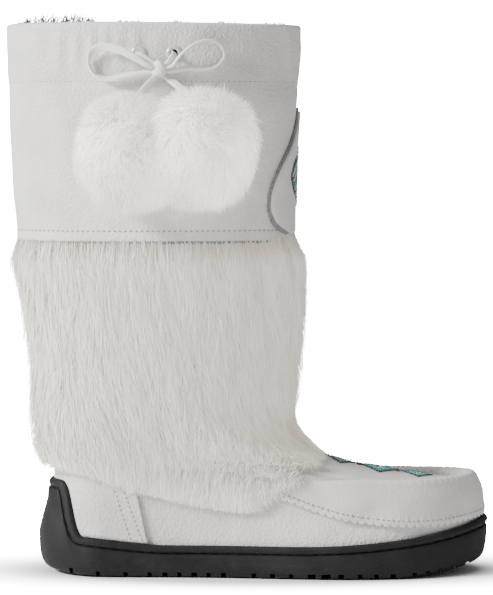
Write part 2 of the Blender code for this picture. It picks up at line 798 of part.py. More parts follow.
def make_eyelets(parts, metal):
    """Turned grommets: a barrel through the cuff and a rounded flange on its face."""
    for name, (centre, turn) in eyelet_places().items():
        profile = [
            (EYELET_HOLE, EYELET_FLANGE + GAP),
            (EYELET_RADIUS - 0.5 * EYELET_FLANGE, EYELET_FLANGE + GAP),
            (EYELET_RADIUS, 0.5 * EYELET_FLANGE + GAP),
            (EYELET_RADIUS, GAP),
            (EYELET_BARREL, GAP),
            (EYELET_BARREL, -CUFF_LEATHER + GAP),
            (EYELET_HOLE, -CUFF_LEATHER + GAP),
        ]
        mesh = bpy.data.meshes.new(name)
        loop = [(i, (i + 1) % len(profile)) for i in range(len(profile))]
        mesh.from_pydata([(r, 0.0, z) for r, z in profile], loop, [])
        mesh.materials.append(metal)
        made = bpy.data.objects.new(name, mesh)
        made.matrix_world = Matrix.Translation(centre) @ turn
        parts.objects.link(made)
        screw = made.modifiers.new("turned", "SCREW")
        screw.steps = screw.render_steps = 12
        screw.use_merge_vertices = True
        screw.merge_threshold = 0.02 * MM
        screw.use_normal_calculate = True


def columns_within(height, distance):
    """How many columns from the front line a distance round the leather reaches at a height."""
    columns = np.linspace(0.0, HALF_COLUMNS / 2, 200)
    points = np.array([skin(row_at(c, height), c) for c in columns])
    along = np.concatenate([[0.0], np.cumsum(np.linalg.norm(np.diff(points, axis=0), axis=1))])
    return float(np.interp(distance, along, columns))


def make_tab(parts, leather):
    """The teardrop at the front of the cuff."""
    rows = []
    for item in TAB_ROWS:
        height = CUFF_FOOT + item.height * TAB_HEIGHT
        edge = columns_within(height, item.half * TAB_HALF_WIDTH)
        columns = [held_between(c, -edge, edge) for c in range(-TAB_COLUMNS, TAB_COLUMNS + 1)]
        rows.append([skin(row_at(c, height), c, CUFF_OUT + TAB_STAND) for c in columns])
    tab = object_from(surface(rows, closed=False), "cuff_tab", parts, leather)
    solidify(tab, TAB_LEATHER, 1)
    return tab


def fur_depth(from_hem, from_top):
    """The fur's depth at its distances from the hem and the cuff: full, with rounded ends."""
    low = float(smooth(from_hem / (1.6 * FUR_DEPTH)))
    high = float(smooth(from_top / (2.2 * FUR_DEPTH)))
    return FUR_DEPTH * mix(0.62, 1.0, low) * mix(0.30, 1.0, high)


def fur_at(column, row):
    """The gap under the fur and its depth at a place on the leather."""
    lengths = column_lengths(column)
    low, here, top = np.interp([hem_row(column), row, CUFF_ROW], range(TOP_ROW + 1), lengths)
    tucked = 1.0 - float(smooth((here - low - 1.3 * FUR_TUCK) / FUR_TUCK))
    return FUR_SLACK + tucked * (OVERLAY + FIT), fur_depth(here - low, top - here)


def fur_rows(column):
    """The rows of the fur's faces up a column: its two ends, a rounding beside each, and the leather's own."""
    hem, top = hem_row(column), row_after(column, CUFF_ROW, -2 * GAP)
    low, high = row_after(column, hem, FUR_DEPTH), row_after(column, top, -FUR_DEPTH)
    own = [held_between(row, low, high) for row in range(FUR_FIRST_ROW, CUFF_ROW)]
    return [hem, low, *own, high, top]


def fur_rings():
    """The fur band's outer and inner faces as rings of points."""
    outer, inner = [], []
    for c in range(COLUMNS):
        placed = [(row, *fur_at(c, row)) for row in fur_rows(c)]
        outer.append([skin(row, c, under + depth) for row, under, depth in placed])
        inner.append([skin(row, c, under) for row, under, depth in placed])
    return list(zip(*outer)), list(zip(*inner))


def lock_cone(bm, root, tip, out, width):
    """A flattened tapering lock between two points."""
    axis = (tip - root).normalized()
    across = axis.cross(out).normalized()
    lift = across.cross(axis).normalized()
    frame = Matrix((across, lift, axis)).transposed().to_4x4()
    bmesh.ops.create_cone(
        bm,
        cap_ends=True,
        segments=5,
        radius1=width / 2,
        radius2=width / 12,
        depth=(tip - root).length,
        matrix=Matrix.Translation((root + tip) / 2) @ frame @ Matrix.Diagonal((1, LOCK_FLATNESS, 1, 1)),
    )


def make_fur(parts, cutters, fur):
    outer, inner = fur_rings()
    band = object_from(surface([*outer, *reversed(inner), outer[0]]), "fur_band", parts, fur)
    random = np.random.default_rng(7)
    for tier in FUR_TIERS:
        locks = bmesh.new()
        for i in range(tier.count):
            column = COLUMNS * (i + tier.offset + random.uniform(-0.1, 0.1)) / tier.count
            row = mix(hem_row(column), CUFF_ROW, tier.share)
            under, depth = fur_at(column, row)
            length = LOCK_LENGTH * tier.length * random.uniform(0.85, 1.1)
            root = Vector(skin(row, column, under + 0.6 * depth))
            tip = Vector(skin(row_after(column, row, -length), column, under + depth + LOCK_LIFT))
            out = Vector(skin(row, column, depth)) - Vector(skin(row, column))
            lock_cone(locks, root, tip, out, LOCK_WIDTH * random.uniform(0.8, 1.1))
        boolean(band, object_from(locks, f"locks_{tier.name}", cutters), "UNION")
    return band


def bow_point(point):
    """Where a point of the bow lies in front of the cuff."""
    height = COLLAR_HEIGHT - EYELET_DROP + point.up * MM
    return on_cuff(BOW_X + point.forward * MM, height, point.out * MM)


def pompom_centre(item):
    height = COLLAR_HEIGHT - EYELET_DROP - item.down * POMPOM_RADIUS
    return on_cuff(BOW_X + item.forward * POMPOM_RADIUS, height, item.stand * POMPOM_RADIUS)


def lace_route(name):
    """The points of one run of the lace. A tail goes on to the face of its pompom."""
    route = [bow_point(p) for p in LACE_RUNS[name]]
    for item in POMPOMS:
        if item.tail == name:
            centre = pompom_centre(item)
            route.append(centre + (POMPOM_RADIUS + GAP) * (route[-1] - centre).normalized())
    return np.array(route)


def make_lace(parts, lace):
    """The lace's six runs that show: a lead, a loop and a tail on each side of the knot."""
    for name in LACE_RUNS:
        route = lace_route(name)
        travelled = np.concatenate([[0.0], np.cumsum(np.linalg.norm(np.diff(route, axis=0), axis=1))])
        count = max(4, round(travelled[-1] / (2.4 * LACE)) + 1)
        places = np.linspace(0.0, travelled[-1], count)
        curve = bpy.data.curves.new(name, "CURVE")
        curve.dimensions = "3D"
        curve.bevel_depth = LACE / 2
        curve.bevel_resolution = 2
        curve.use_fill_caps = True
        spline = curve.splines.new("POLY")
        spline.points.add(count - 1)
        for k, place in enumerate(places):
            co = [float(through(travelled, route[:, axis], place)) for axis in range(3)]
            spline.points[k].co = (*co, 1.0)
        curve.materials.append(lace)
        parts.objects.link(bpy.data.objects.new(name, curve))


def make_knot(parts, lace):
    bm = bmesh.new()
    bmesh.ops.create_uvsphere(bm, u_segments=10, v_segments=6, radius=0.5)
    size = Matrix.Diagonal((KNOT_WIDTH, KNOT_WIDTH, KNOT_HEIGHT, 1))
    place = Matrix.Translation(bow_point(BowPoint(forward=2.2, up=-9.6, out=6.2)))
    bmesh.ops.transform(bm, matrix=place @ size, verts=bm.verts)
    object_from(bm, "drawstring_knot", parts, lace)


def make_pompoms(parts, cutters, fur):
    """Balls of fur with locks over the side that doesn't lie against the cuff or the other ball."""
    radius = POMPOM_RADIUS
    for item, neighbour in zip(POMPOMS, reversed(POMPOMS)):
        centre = pompom_centre(item)
        towards = (pompom_centre(neighbour) - centre).normalized()
        bm = bmesh.new()
        bmesh.ops.create_uvsphere(
            bm, u_segments=12, v_segments=8, radius=radius, matrix=Matrix.Translation(centre)
        )
        ball = object_from(bm, item.name, parts, fur)
        locks = bmesh.new()
        for k in range(POMPOM_LOCKS):
            level = 1 - 2 * (k + 0.5) / POMPOM_LOCKS
            turn = k * math.pi * (3 - math.sqrt(5))
            ring = math.sqrt(1 - level * level)
            axis = Vector((ring * math.cos(turn), ring * math.sin(turn), level))
            if axis.dot(towards) > 0.35 or axis.y > 0.35 or axis.z > 0.80:
                continue
            tip = centre + (radius + POMPOM_LOCK) * (axis - Vector((0, 0, 0.15))).normalized()
            lock_cone(locks, centre + 0.85 * radius * axis, tip, axis.orthogonal(), LOCK_WIDTH)
        boolean(ball, object_from(locks, f"{item.name}_locks", cutters), "UNION")


def make_parts():
    parts = new_collection("winter_boot")
    cutters = new_collection("cutters")
    leather = material("white_leather", (0.78, 0.77, 0.75), 0.5)
    rubber = material("black_rubber", (0.03, 0.03, 0.032), 0.55)
    felt = material("grey_felt", (0.45, 0.43, 0.40), 0.95)
    fur = material("white_fur", (0.86, 0.84, 0.80), 0.9)
    lace = material("white_lace", (0.85, 0.85, 0.84), 0.6)
    metal = material("white_enamel", (0.82, 0.83, 0.84), 0.3)
    make_outsole(parts, cutters, rubber)
    make_insole(parts, felt)
    make_upper(parts, leather)
    make_vamp(parts, cutters, leather)
    make_counter(parts, leather)
    make_cuff(parts, cutters, leather)
    make_tab(parts, leather)
    make_eyelets(parts, metal)
    make_fur(parts, cutters, fur)
    make_lace(parts, lace)
    make_knot(parts, lace)
    make_pompoms(parts, cutters, fur)


def clear_scene():
    for obj in list(bpy.data.objects):
        bpy.data.objects.remove(obj)


clear_scene()
make_parts()
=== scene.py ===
import math

import bmesh
import bpy
import numpy as np
from mathutils import Matrix, Vector


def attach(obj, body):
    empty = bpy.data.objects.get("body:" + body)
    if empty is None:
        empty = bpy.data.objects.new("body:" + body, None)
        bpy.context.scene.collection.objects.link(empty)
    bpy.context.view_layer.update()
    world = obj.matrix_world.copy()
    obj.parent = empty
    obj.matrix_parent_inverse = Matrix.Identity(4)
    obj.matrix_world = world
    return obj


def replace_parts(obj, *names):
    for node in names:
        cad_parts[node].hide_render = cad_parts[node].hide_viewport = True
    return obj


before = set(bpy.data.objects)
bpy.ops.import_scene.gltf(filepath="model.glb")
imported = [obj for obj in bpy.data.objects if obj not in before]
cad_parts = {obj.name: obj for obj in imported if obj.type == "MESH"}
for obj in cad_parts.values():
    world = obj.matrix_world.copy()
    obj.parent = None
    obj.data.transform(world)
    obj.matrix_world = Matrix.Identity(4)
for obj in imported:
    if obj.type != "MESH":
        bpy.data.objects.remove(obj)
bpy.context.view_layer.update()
print("frame loaded")

mm = 0.001
dice = np.random.default_rng(11)
stageCollection = bpy.context.scene.collection

# sizes shared with the part

boot = {  # metres, the sizes that the frame was built with
    "soleLength": 0.2755, "ballWidth": 0.098, "heelWidth": 0.070, "toeCurve": 0.007,
    "toeRound": 0.054, "heelRound": 0.036, "soleFloor": 0.009, "soleSide": 0.0195,
    "toeBumper": 0.0335, "heelCup": 0.0575, "soleWall": 0.0042, "bead": 0.0044,
    "toeSpring": 0.008, "heelRise": 0.004, "leather": 0.0024, "instepRise": 0.0625,
    "toeRoll": 0.009, "heelLean": 0.0055, "collar": 0.334, "cuff": 0.128,
    "shaftDepth": 0.1767, "shaftWidth": 0.092, "overhang": 0.022, "gap": 0.0003,
}
heelX = -boot["soleLength"] / 2
toeX = boot["soleLength"] / 2
seat = boot["soleWall"] + boot["gap"]
instepZ = boot["soleFloor"] + boot["instepRise"]
cuffZ = boot["collar"] - boot["cuff"]
shaftBackX = heelX + seat - boot["overhang"]
shaftFrontX = shaftBackX + 0.954 * boot["shaftDepth"]

# share of the sole's length, outer and inner reach from the heel's half width, 0, to the ball's, 1
planStations = (
    (0.00, 0.00, 0.00), (0.16, 0.03, 0.00), (0.40, 0.20, -0.12), (0.56, 0.62, 0.36),
    (0.70, 1.00, 0.92), (0.84, 0.93, 0.96), (1.00, 0.50, 0.60),
)
# front, front lift, heel lean, back lift, inset, foot, spring, half width, front oval, back oval
footRings = (
    (0.975, 0.000, 0.00, 0.00, 0.20, 1.00, 1.00, 0.90, 0.00, 0.00),
    (0.995, 0.200, 0.00, 0.22, 0.02, 1.00, 1.00, 0.90, 0.00, 0.00),
    (1.000, 0.415, 0.45, 0.47, 0.00, 1.00, 0.80, 0.90, 0.00, 0.00),
    (0.990, 0.600, 0.90, 0.69, 0.12, 1.00, 0.60, 0.90, 0.00, 0.00),
    (0.955, 0.730, 1.00, 0.82, 0.56, 0.92, 0.35, 0.90, 0.00, 0.02),
    (0.905, 0.680, 0.90, 1.01, 1.15, 0.80, 0.35, 0.88, -0.20, 0.10),
    (0.745, 0.730, 0.73, 1.13, 1.25, 0.62, 0.20, 0.91, -0.10, 0.20),
    (0.479, 0.815, 0.27, 1.27, 1.20, 0.45, 0.10, 0.91, 0.00, 0.33),
    (0.279, 0.895, -0.10, 1.43, 0.90, 0.30, 0.00, 0.92, 0.10, 0.48),
    (0.146, 1.000, -0.36, 1.56, 0.40, 0.18, 0.00, 0.92, 0.25, 0.63),
)
# front, front lift, back, back lift, half width, front oval, back oval
shaftRings = (
    (0.979, 0.09, 0.107, 0.36, 0.92, 0.60, 0.76),
    (0.954, 0.23, 0.102, 0.44, 0.94, 0.85, 0.88),
    (0.979, 0.70, 0.065, 0.74, 0.99, 1.00, 1.00),
    (0.976, 1.00, 0.031, 1.00, 1.01, 1.00, 1.00),
    (0.983, 1.42, 0.010, 1.42, 1.01, 1.00, 1.00),
    (1.000, 2.00, 0.000, 2.00, 1.00, 1.00, 1.00),
)
furHem = (
    (0.00, 0.92), (0.10, 0.87), (0.20, 0.74), (0.30, 0.65), (0.40, 0.58),
    (0.48, 0.57), (0.53, 0.69), (0.58, 0.82), (0.62, 0.94), (0.66, 1.20),
)
vampEdge = ((0.50, 0.74), (0.58, 0.61), (0.66, 0.51), (0.76, 0.45), (0.88, 0.44), (1.00, 0.495))
topRow = len(footRings) + len(shaftRings) - 1
cuffRow = topRow - 2


def smooth(t):
    t = np.clip(t, 0.0, 1.0)
    return t * t * (3.0 - 2.0 * t)


def mix(a, b, t):
    return a + (b - a) * t


def bell(x, middle, width):  # 1 at the middle, falling away on both sides
    return np.exp(-(((x - middle) / width) ** 2))


def fromToe(u):  # how far round from the toe's line, by the shorter way
    return np.minimum(u % 1.0, 1.0 - u % 1.0)


def travel(points):  # the length travelled up to each point of a line
    return np.concatenate([[0.0], np.cumsum(np.linalg.norm(np.diff(points, axis=0), axis=1))])


def through(xs, ys, x):  # a smooth curve through points, along the first axis of ys
    xs, ys, x = np.asarray(xs, float), np.asarray(ys, float), np.asarray(x, float)
    slopes = np.gradient(ys, xs, axis=0)
    i = np.clip(np.searchsorted(xs, x, side="right") - 1, 0, len(xs) - 2)
    span = xs[i + 1] - xs[i]
    t = np.clip((x - xs[i]) / span, 0.0, 1.0)
    wide = t.shape + (1,) * (ys.ndim - 1)
    t, span = t.reshape(wide), span.reshape(wide)
    rise = t * t * (3.0 - 2.0 * t)
    bend = t * (1.0 - t) ** 2 * span * slopes[i] - t * t * (1.0 - t) * span * slopes[i + 1]
    return ys[i] + (ys[i + 1] - ys[i]) * rise + bend


def treadRise(x):
    flatToe, flatHeel = heelX + 0.775 * boot["soleLength"], heelX + 0.165 * boot["soleLength"]
    toe = np.clip((x - flatToe) / (toeX - flatToe), 0.0, None)
    heel = np.clip((flatHeel - x) / (flatHeel - heelX), 0.0, None)
    return boot["toeSpring"] * toe**1.7 + boot["heelRise"] * heel**1.7


def planHalf(share, side):
    reach = through([s[0] for s in planStations], [s[side] for s in planStations], share)
    return mix(boot["heelWidth"] / 2, boot["ballWidth"] / 2, reach)


def endRound(distance, length):
    t = np.clip(distance / length, 0.0, 1.0)
    return (1.0 - (1.0 - t) ** 2.15) ** (1.0 / 2.15)


def halfRing(ring, side, shares):
    x = mix(ring["back"], ring["front"], shares)
    inset = mix(seat, ring["inset"], smooth((shares - 0.56) / 0.22))
    half = mix(ring["half"], planHalf(shares, side) - inset, ring["foot"])
    oval = boot["shaftDepth"] / 2
    half = half * endRound(ring["front"] - x, mix(boot["toeRound"], oval, ring["frontOval"]))
    half = half * endRound(x - ring["back"], mix(boot["heelRound"], oval, ring["backOval"]))
    centre = ring["foot"] * boot["toeCurve"] * np.clip((shares - 0.5) / 0.5, 0.0, 1.0) ** 2
    z = mix(ring["backLift"], ring["frontLift"], smooth(shares)) + ring["spring"] * treadRise(x)
    return np.stack([x, centre + (-half if side == 1 else half), z], axis=1)


def ringTable():
    base = boot["soleFloor"] + boot["gap"]
    rings = []
    for front, frontLift, lean, backLift, inset, foot, spring, half, frontOval, backOval in footRings:
        rings.append(dict(
            front=mix(shaftFrontX, toeX - seat, front), back=heelX + seat + lean * boot["heelLean"],
            frontLift=base + frontLift * boot["instepRise"], backLift=base + backLift * boot["instepRise"],
            inset=seat + inset * boot["toeRoll"], foot=foot, spring=spring,
            half=half * boot["shaftWidth"] / 2, frontOval=frontOval, backOval=backOval))
    for front, frontLift, back, backLift, half, frontOval, backOval in shaftRings:
        lifts = [instepZ + min(v, 1.0) * (cuffZ - instepZ) + max(v - 1.0, 0.0) * boot["cuff"]
                 for v in (frontLift, backLift)]
        rings.append(dict(
            front=shaftBackX + front * boot["shaftDepth"], back=shaftBackX + back * boot["shaftDepth"],
            frontLift=lifts[0], backLift=lifts[1], inset=seat, foot=0.0, spring=0.0,
            half=half * boot["shaftWidth"] / 2, frontOval=frontOval, backOval=backOval))
    return rings


def evenShares(count):  # places along half the outline, at even steps of its length
    share = (1.0 + np.cos(np.linspace(0.0, math.pi, 3000))) / 2
    x = heelX + share * boot["soleLength"]
    y = planHalf(share, 1) * endRound(toeX - x, boot["toeRound"]) * endRound(x - heelX, boot["heelRound"])
    travelled = np.concatenate([[0.0], np.cumsum(np.hypot(np.diff(x), np.diff(y)))])
    wanted = np.linspace(0.0, travelled[-1], count + 1)
    return np.interp(wanted, travelled, share)


class Skin:  # the leather's outer face: h counts the rings up, u runs round from the toe
    def __init__(self, halfColumns=160, perRow=8):
        self.shares = evenShares(halfColumns)
        self.columns = 2 * halfColumns
        rings = []
        for ring in ringTable():
            outer, inner = halfRing(ring, 1, self.shares), halfRing(ring, 2, self.shares)
            rings.append(np.concatenate([outer, inner[-2:0:-1]]))
        self.h = np.linspace(0.0, topRow, topRow * perRow + 1)
        self.points = through(np.arange(topRow + 1), np.array(rings), self.h)
        beside = np.roll(self.points, -1, axis=1) - np.roll(self.points, 1, axis=1)
        upward = np.gradient(self.points, axis=0)
        normal = np.cross(upward, beside)
        normal = normal / np.maximum(np.linalg.norm(normal, axis=2, keepdims=True), 1e-12)
        self.normals = normal
        steps = np.linalg.norm(np.diff(self.points, axis=0), axis=2)
        self.lengths = np.concatenate([np.zeros((1, self.columns)), np.cumsum(steps, axis=0)])
        self.share = np.concatenate([self.shares, self.shares[-2:0:-1]])

    def read(self, grid, h, u):
        row = np.clip(np.asarray(h, float) / topRow, 0.0, 1.0) * (len(self.h) - 1)
        col = (np.asarray(u, float) % 1.0) * self.columns
        r, c = np.minimum(row.astype(int), len(self.h) - 2), col.astype(int) % self.columns
        t, s, d = row - r, col - np.floor(col), (c + 1) % self.columns
        if grid.ndim == 3:
            t, s = t[..., None], s[..., None]
        low = mix(grid[r, c], grid[r, d], s)
        return mix(low, mix(grid[r + 1, c], grid[r + 1, d], s), t)

    def at(self, h, u, out=0.0):
        normal = self.read(self.normals, h, u)
        normal = normal / np.linalg.norm(normal, axis=-1, keepdims=True)
        return self.read(self.points, h, u) + np.asarray(out)[..., None] * normal

    def normalAt(self, h, u):
        normal = self.read(self.normals, h, u)
        return normal / np.linalg.norm(normal, axis=-1, keepdims=True)

    def lengthAt(self, h, u):
        return self.read(self.lengths, h, u)

    def climb(self, h, u, distance):  # h after a distance up the surface
        here = np.asarray(h, float)
        for _ in range(2):
            ahead = np.clip(here + 0.02, 0, topRow)
            behind = np.clip(here - 0.02, 0, topRow)
            speed = (self.lengthAt(ahead, u) - self.lengthAt(behind, u)) / np.maximum(ahead - behind, 1e-6)
            here = here + 0.5 * distance / np.maximum(speed, 1e-4)
        return np.clip(here, 0.0, topRow)

    def crossing(self, curve):  # for each column, the h where it first rises over a height against x
        above = self.points[:, :, 2] - curve(self.points[:, :, 0])
        first = np.argmax(above >= 0.0, axis=0)
        cols = np.arange(self.columns)
        low = np.maximum(first - 1, 0)
        a, b = above[low, cols], above[first, cols]
        t = np.where(first > 0, -a / np.maximum(b - a, 1e-9), 0.0)
        return (low + np.where(first > 0, t, 0.0)) / (len(self.h) - 1) * topRow

    def along(self, values, u):  # reads a value per column
        place = (np.asarray(u, float) % 1.0) * self.columns
        c = place.astype(int) % self.columns
        return mix(values[c], values[(c + 1) % self.columns], place - np.floor(place))


skin = Skin()


def edgeCurve(table):
    shares, heights = [p[0] for p in table], [p[1] for p in table]
    return lambda x: instepZ * through(shares, heights, (x - heelX) / boot["soleLength"])


def soleTop(share):
    toe = np.clip((share - 0.55) / 0.45, 0.0, 1.0) ** 2
    distance = share * boot["soleLength"] / boot["heelRound"]
    cup = 0.85 * (1.0 - smooth((distance - 0.18) / 0.50)) + 0.15 * (1.0 - smooth(distance / 2.2))
    side = boot["soleSide"]
    return side + (boot["toeBumper"] - side) * toe + (boot["heelCup"] - side) * cup


hemRow = skin.crossing(edgeCurve(furHem))
hemLength = skin.lengthAt(hemRow, np.arange(skin.columns) / skin.columns)
vampRow = skin.crossing(edgeCurve(vampEdge))
soleRow = np.array([np.interp(soleTop(s), skin.points[:33, c, 2], skin.h[:33])
                    for c, s in enumerate(skin.share)])
print("surface ready")

# mesh helpers


def finishMesh(name, bm, material, smoothAngle=None):
    mesh = bpy.data.meshes.new(name)
    bm.to_mesh(mesh)
    bm.free()
    mesh.shade_smooth()
    if smoothAngle:
        mesh.set_sharp_from_angle(angle=math.radians(smoothAngle))
    obj = bpy.data.objects.new(name, mesh)
    stageCollection.objects.link(obj)
    mesh.materials.append(material)
    return obj


def loft(name, rows, material, closed=True, wall=0.0, smoothAngle=None):
    # a strip of edges is extruded from each row of points to the next
    bm = bmesh.new()
    count = len(rows[0])
    line = [bm.verts.new(rows[0][i]) for i in range(count)]
    edges = [bm.edges.new((line[i], line[i + 1])) for i in range(count - 1)]
    if closed:
        edges.append(bm.edges.new((line[-1], line[0])))
    for row in rows[1:]:
        made = bmesh.ops.extrude_edge_only(bm, edges=edges)
        fresh = {v for v in made["geom"] if isinstance(v, bmesh.types.BMVert)}
        upper = []
        for v in line:
            partner = next(e.other_vert(v) for e in v.link_edges if e.other_vert(v) in fresh)
            upper.append(partner)
        for v, place in zip(upper, row):
            v.co = place
        line = upper
        edges = [e for e in made["geom"] if isinstance(e, bmesh.types.BMEdge)
                 and e.verts[0] in fresh and e.verts[1] in fresh]
    bmesh.ops.remove_doubles(bm, verts=bm.verts, dist=1e-6)
    bmesh.ops.recalc_face_normals(bm, faces=bm.faces)
    obj = finishMesh(name, bm, material, smoothAngle)
    if wall:
        solid = obj.modifiers.new("wall", "SOLIDIFY")
        solid.thickness = abs(wall)
        solid.offset = 1.0 if wall > 0 else -1.0
    return obj


def settle(obj, node=None):
    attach(obj, "root")
    if node:
        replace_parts(obj, *([node] if isinstance(node, str) else node))
    return obj


def shardMesh(name, paths, sides, halves, normals, tints, material):
    # one flat tapering blade along each path: paths is n by k by 3, sides and normals n by k by 3
    n, k, _ = paths.shape
    left = paths[:, :-1] - sides[:, :-1] * halves[:, :-1, None]
    right = paths[:, :-1] + sides[:, :-1] * halves[:, :-1, None]
    per = 2 * (k - 1) + 1
    verts = np.empty((n, per, 3))
    verts[:, 0:-1:2], verts[:, 1:-1:2], verts[:, -1] = left, right, paths[:, -1]
    shade = np.empty((n, per, 3))
    shade[:, 0:-1:2], shade[:, 1:-1:2], shade[:, -1] = normals[:, :-1], normals[:, :-1], normals[:, -1]
    first = np.arange(n)[:, None] * per
    quads = [first + np.array([[2 * j, 2 * j + 1, 2 * j + 3, 2 * j + 2]]) for j in range(k - 2)]
    quads = np.stack(quads, axis=1).reshape(-1, 4)
    tris = (first + np.array([[per - 3, per - 2, per - 1]])).reshape(-1, 3)
    mesh = bpy.data.meshes.new(name)
    mesh.vertices.add(n * per)
    mesh.vertices.foreach_set("co", verts.reshape(-1))
    loops = np.concatenate([quads.reshape(-1), tris.reshape(-1)])
    mesh.loops.add(len(loops))
    mesh.loops.foreach_set("vertex_index", loops)
    sizes = np.concatenate([np.full(len(quads), 4), np.full(len(tris), 3)])
    mesh.polygons.add(len(sizes))
    mesh.polygons.foreach_set("loop_start", np.concatenate([[0], np.cumsum(sizes)[:-1]]))
    mesh.polygons.foreach_set("loop_total", sizes)
    mesh.update()
    mesh.shade_smooth()
    along = np.linspace(0.0, 1.0, k)
    colour = np.ones((n, per, 4))
    colour[:, :, 0] = tints[:, None]
    colour[:, 0:-1:2, 1], colour[:, 1:-1:2, 1], colour[:, -1, 1] = along[:-1], along[:-1], 1.0
    layer = mesh.color_attributes.new("strand", "FLOAT_COLOR", "POINT")
    layer.data.foreach_set("color", colour.reshape(-1))
    mesh.normals_split_custom_set_from_vertices(shade.reshape(-1, 3))
    mesh.materials.append(material)
    obj = bpy.data.objects.new(name, mesh)
    stageCollection.objects.link(obj)
    return obj


def unit(vectors):
    return vectors / np.maximum(np.linalg.norm(vectors, axis=-1, keepdims=True), 1e-12)


# materials


def noiseOf(tree, scale, detail=2.0):  # noise over the object's own coordinates
    coords = tree.nodes.new("ShaderNodeTexCoord")
    noise = tree.nodes.new("ShaderNodeTexNoise")
    noise.inputs["Scale"].default_value = scale
    noise.inputs["Detail"].default_value = detail
    tree.links.new(coords.outputs["Object"], noise.inputs["Vector"])
    return noise.outputs["Fac"]


def addShare(tree, value, share, base):  # value times share, plus base
    node = tree.nodes.new("ShaderNodeMath")
    node.operation = "MULTIPLY_ADD"
    node.inputs[1].default_value = share
    tree.links.new(value, node.inputs[0])
    tree.links.new(base, node.inputs[2])
    return node.outputs[0]


def grainGroup():  # pebbled leather: cells with soft edges, finer noise and faint mottling
    group = bpy.data.node_groups.new("pebbleGrain", "ShaderNodeTree")
    for label, kind, way in (
        ("Size", "NodeSocketFloat", "INPUT"), ("Depth", "NodeSocketFloat", "INPUT"),
        ("Mottle", "NodeSocketFloat", "OUTPUT"), ("Normal", "NodeSocketVector", "OUTPUT"),
    ):
        group.interface.new_socket(label, in_out=way, socket_type=kind)
    nodes, links = group.nodes, group.links
    entry, leave = nodes.new("NodeGroupInput"), nodes.new("NodeGroupOutput")
    coords = nodes.new("ShaderNodeTexCoord")
    cells = nodes.new("ShaderNodeTexVoronoi")
    cells.feature = "SMOOTH_F1"
    warp = nodes.new("ShaderNodeTexNoise")
    warp.inputs["Scale"].default_value = 220.0
    bend = nodes.new("ShaderNodeVectorMath")
    bend.operation = "MULTIPLY_ADD"
    bend.inputs[1].default_value = (0.0012, 0.0012, 0.0012)
    links.new(coords.outputs["Object"], warp.inputs["Vector"])
    links.new(warp.outputs["Color"], bend.inputs[0])
    links.new(coords.outputs["Object"], bend.inputs[2])
    links.new(bend.outputs[0], cells.inputs["Vector"])
    links.new(entry.outputs["Size"], cells.inputs["Scale"])
    fine, broad = noiseOf(group, 900.0, 4.0), noiseOf(group, 38.0, 5.0)
    height = addShare(group, broad, 1.6, addShare(group, fine, 0.35, cells.outputs["Distance"]))
    bump = nodes.new("ShaderNodeBump")
    bump.inputs["Distance"].default_value = 0.0010
    links.new(entry.outputs["Depth"], bump.inputs["Strength"])
    links.new(height, bump.inputs["Height"])
    links.new(broad, leave.inputs["Mottle"])
    links.new(bump.outputs[0], leave.inputs["Normal"])
    return group


pebbleGrain = grainGroup()


def newMaterial(name, colour, roughness, **sockets):
    made = bpy.data.materials.new(name)
    made.use_nodes = True
    shader = made.node_tree.nodes["Principled BSDF"]
    shader.inputs["Base Color"].default_value = (*colour, 1.0)
    shader.inputs["Roughness"].default_value = roughness
    for label, value in sockets.items():
        shader.inputs[label.replace("_", " ")].default_value = value
    return made


def rampNode(tree, factor, stops):
    ramp = tree.nodes.new("ShaderNodeValToRGB")
    while len(ramp.color_ramp.elements) < len(stops):
        ramp.color_ramp.elements.new(0.5)
    for element, (place, colour) in zip(ramp.color_ramp.elements, stops):
        element.position = place
        element.color = (*colour, 1.0)
    tree.links.new(factor, ramp.inputs["Fac"])
    return ramp.outputs["Color"]


def rampTo(tree, factor, socket, stops):
    tree.links.new(rampNode(tree, factor, stops), tree.nodes["Principled BSDF"].inputs[socket])


def addBump(tree, height, distance, strength):
    bump = tree.nodes.new("ShaderNodeBump")
    bump.inputs["Distance"].default_value = distance
    bump.inputs["Strength"].default_value = strength
    tree.links.new(height, bump.inputs["Height"])
    tree.links.new(bump.outputs[0], tree.nodes["Principled BSDF"].inputs["Normal"])


def leatherMaterial(name, dark, light, size, depth, roughness):
    made = newMaterial(name, light, roughness, Sheen_Weight=0.08, Coat_Weight=0.05, Coat_Roughness=0.45)
    tree = made.node_tree
    shader = tree.nodes["Principled BSDF"]
    grain = tree.nodes.new("ShaderNodeGroup")
    grain.node_tree = pebbleGrain
    grain.inputs["Size"].default_value = size
    grain.inputs["Depth"].default_value = depth
    tree.links.new(grain.outputs["Normal"], shader.inputs["Normal"])
    rampTo(tree, grain.outputs["Mottle"], "Base Color", ((0.36, dark), (0.62, light)))
    rough = tree.nodes.new("ShaderNodeMapRange")
    rough.inputs["To Min"].default_value = roughness - 0.06
    rough.inputs["To Max"].default_value = roughness + 0.08
    tree.links.new(grain.outputs["Mottle"], rough.inputs["Value"])
    tree.links.new(rough.outputs[0], shader.inputs["Roughness"])
    return made


def rubberMaterial():
    made = newMaterial("blackRubber", (0.010, 0.010, 0.011), 0.6, Specular_IOR_Level=0.18)
    tree = made.node_tree
    addBump(tree, noiseOf(tree, 1300.0), 0.0002, 0.5)
    dust = noiseOf(tree, 60.0, 6.0)
    rampTo(tree, dust, "Base Color", ((0.4, (0.008, 0.008, 0.0095)), (0.75, (0.015, 0.015, 0.017))))
    rampTo(tree, dust, "Roughness", ((0.35, (0.52,) * 3), (0.7, (0.68,) * 3)))
    return made


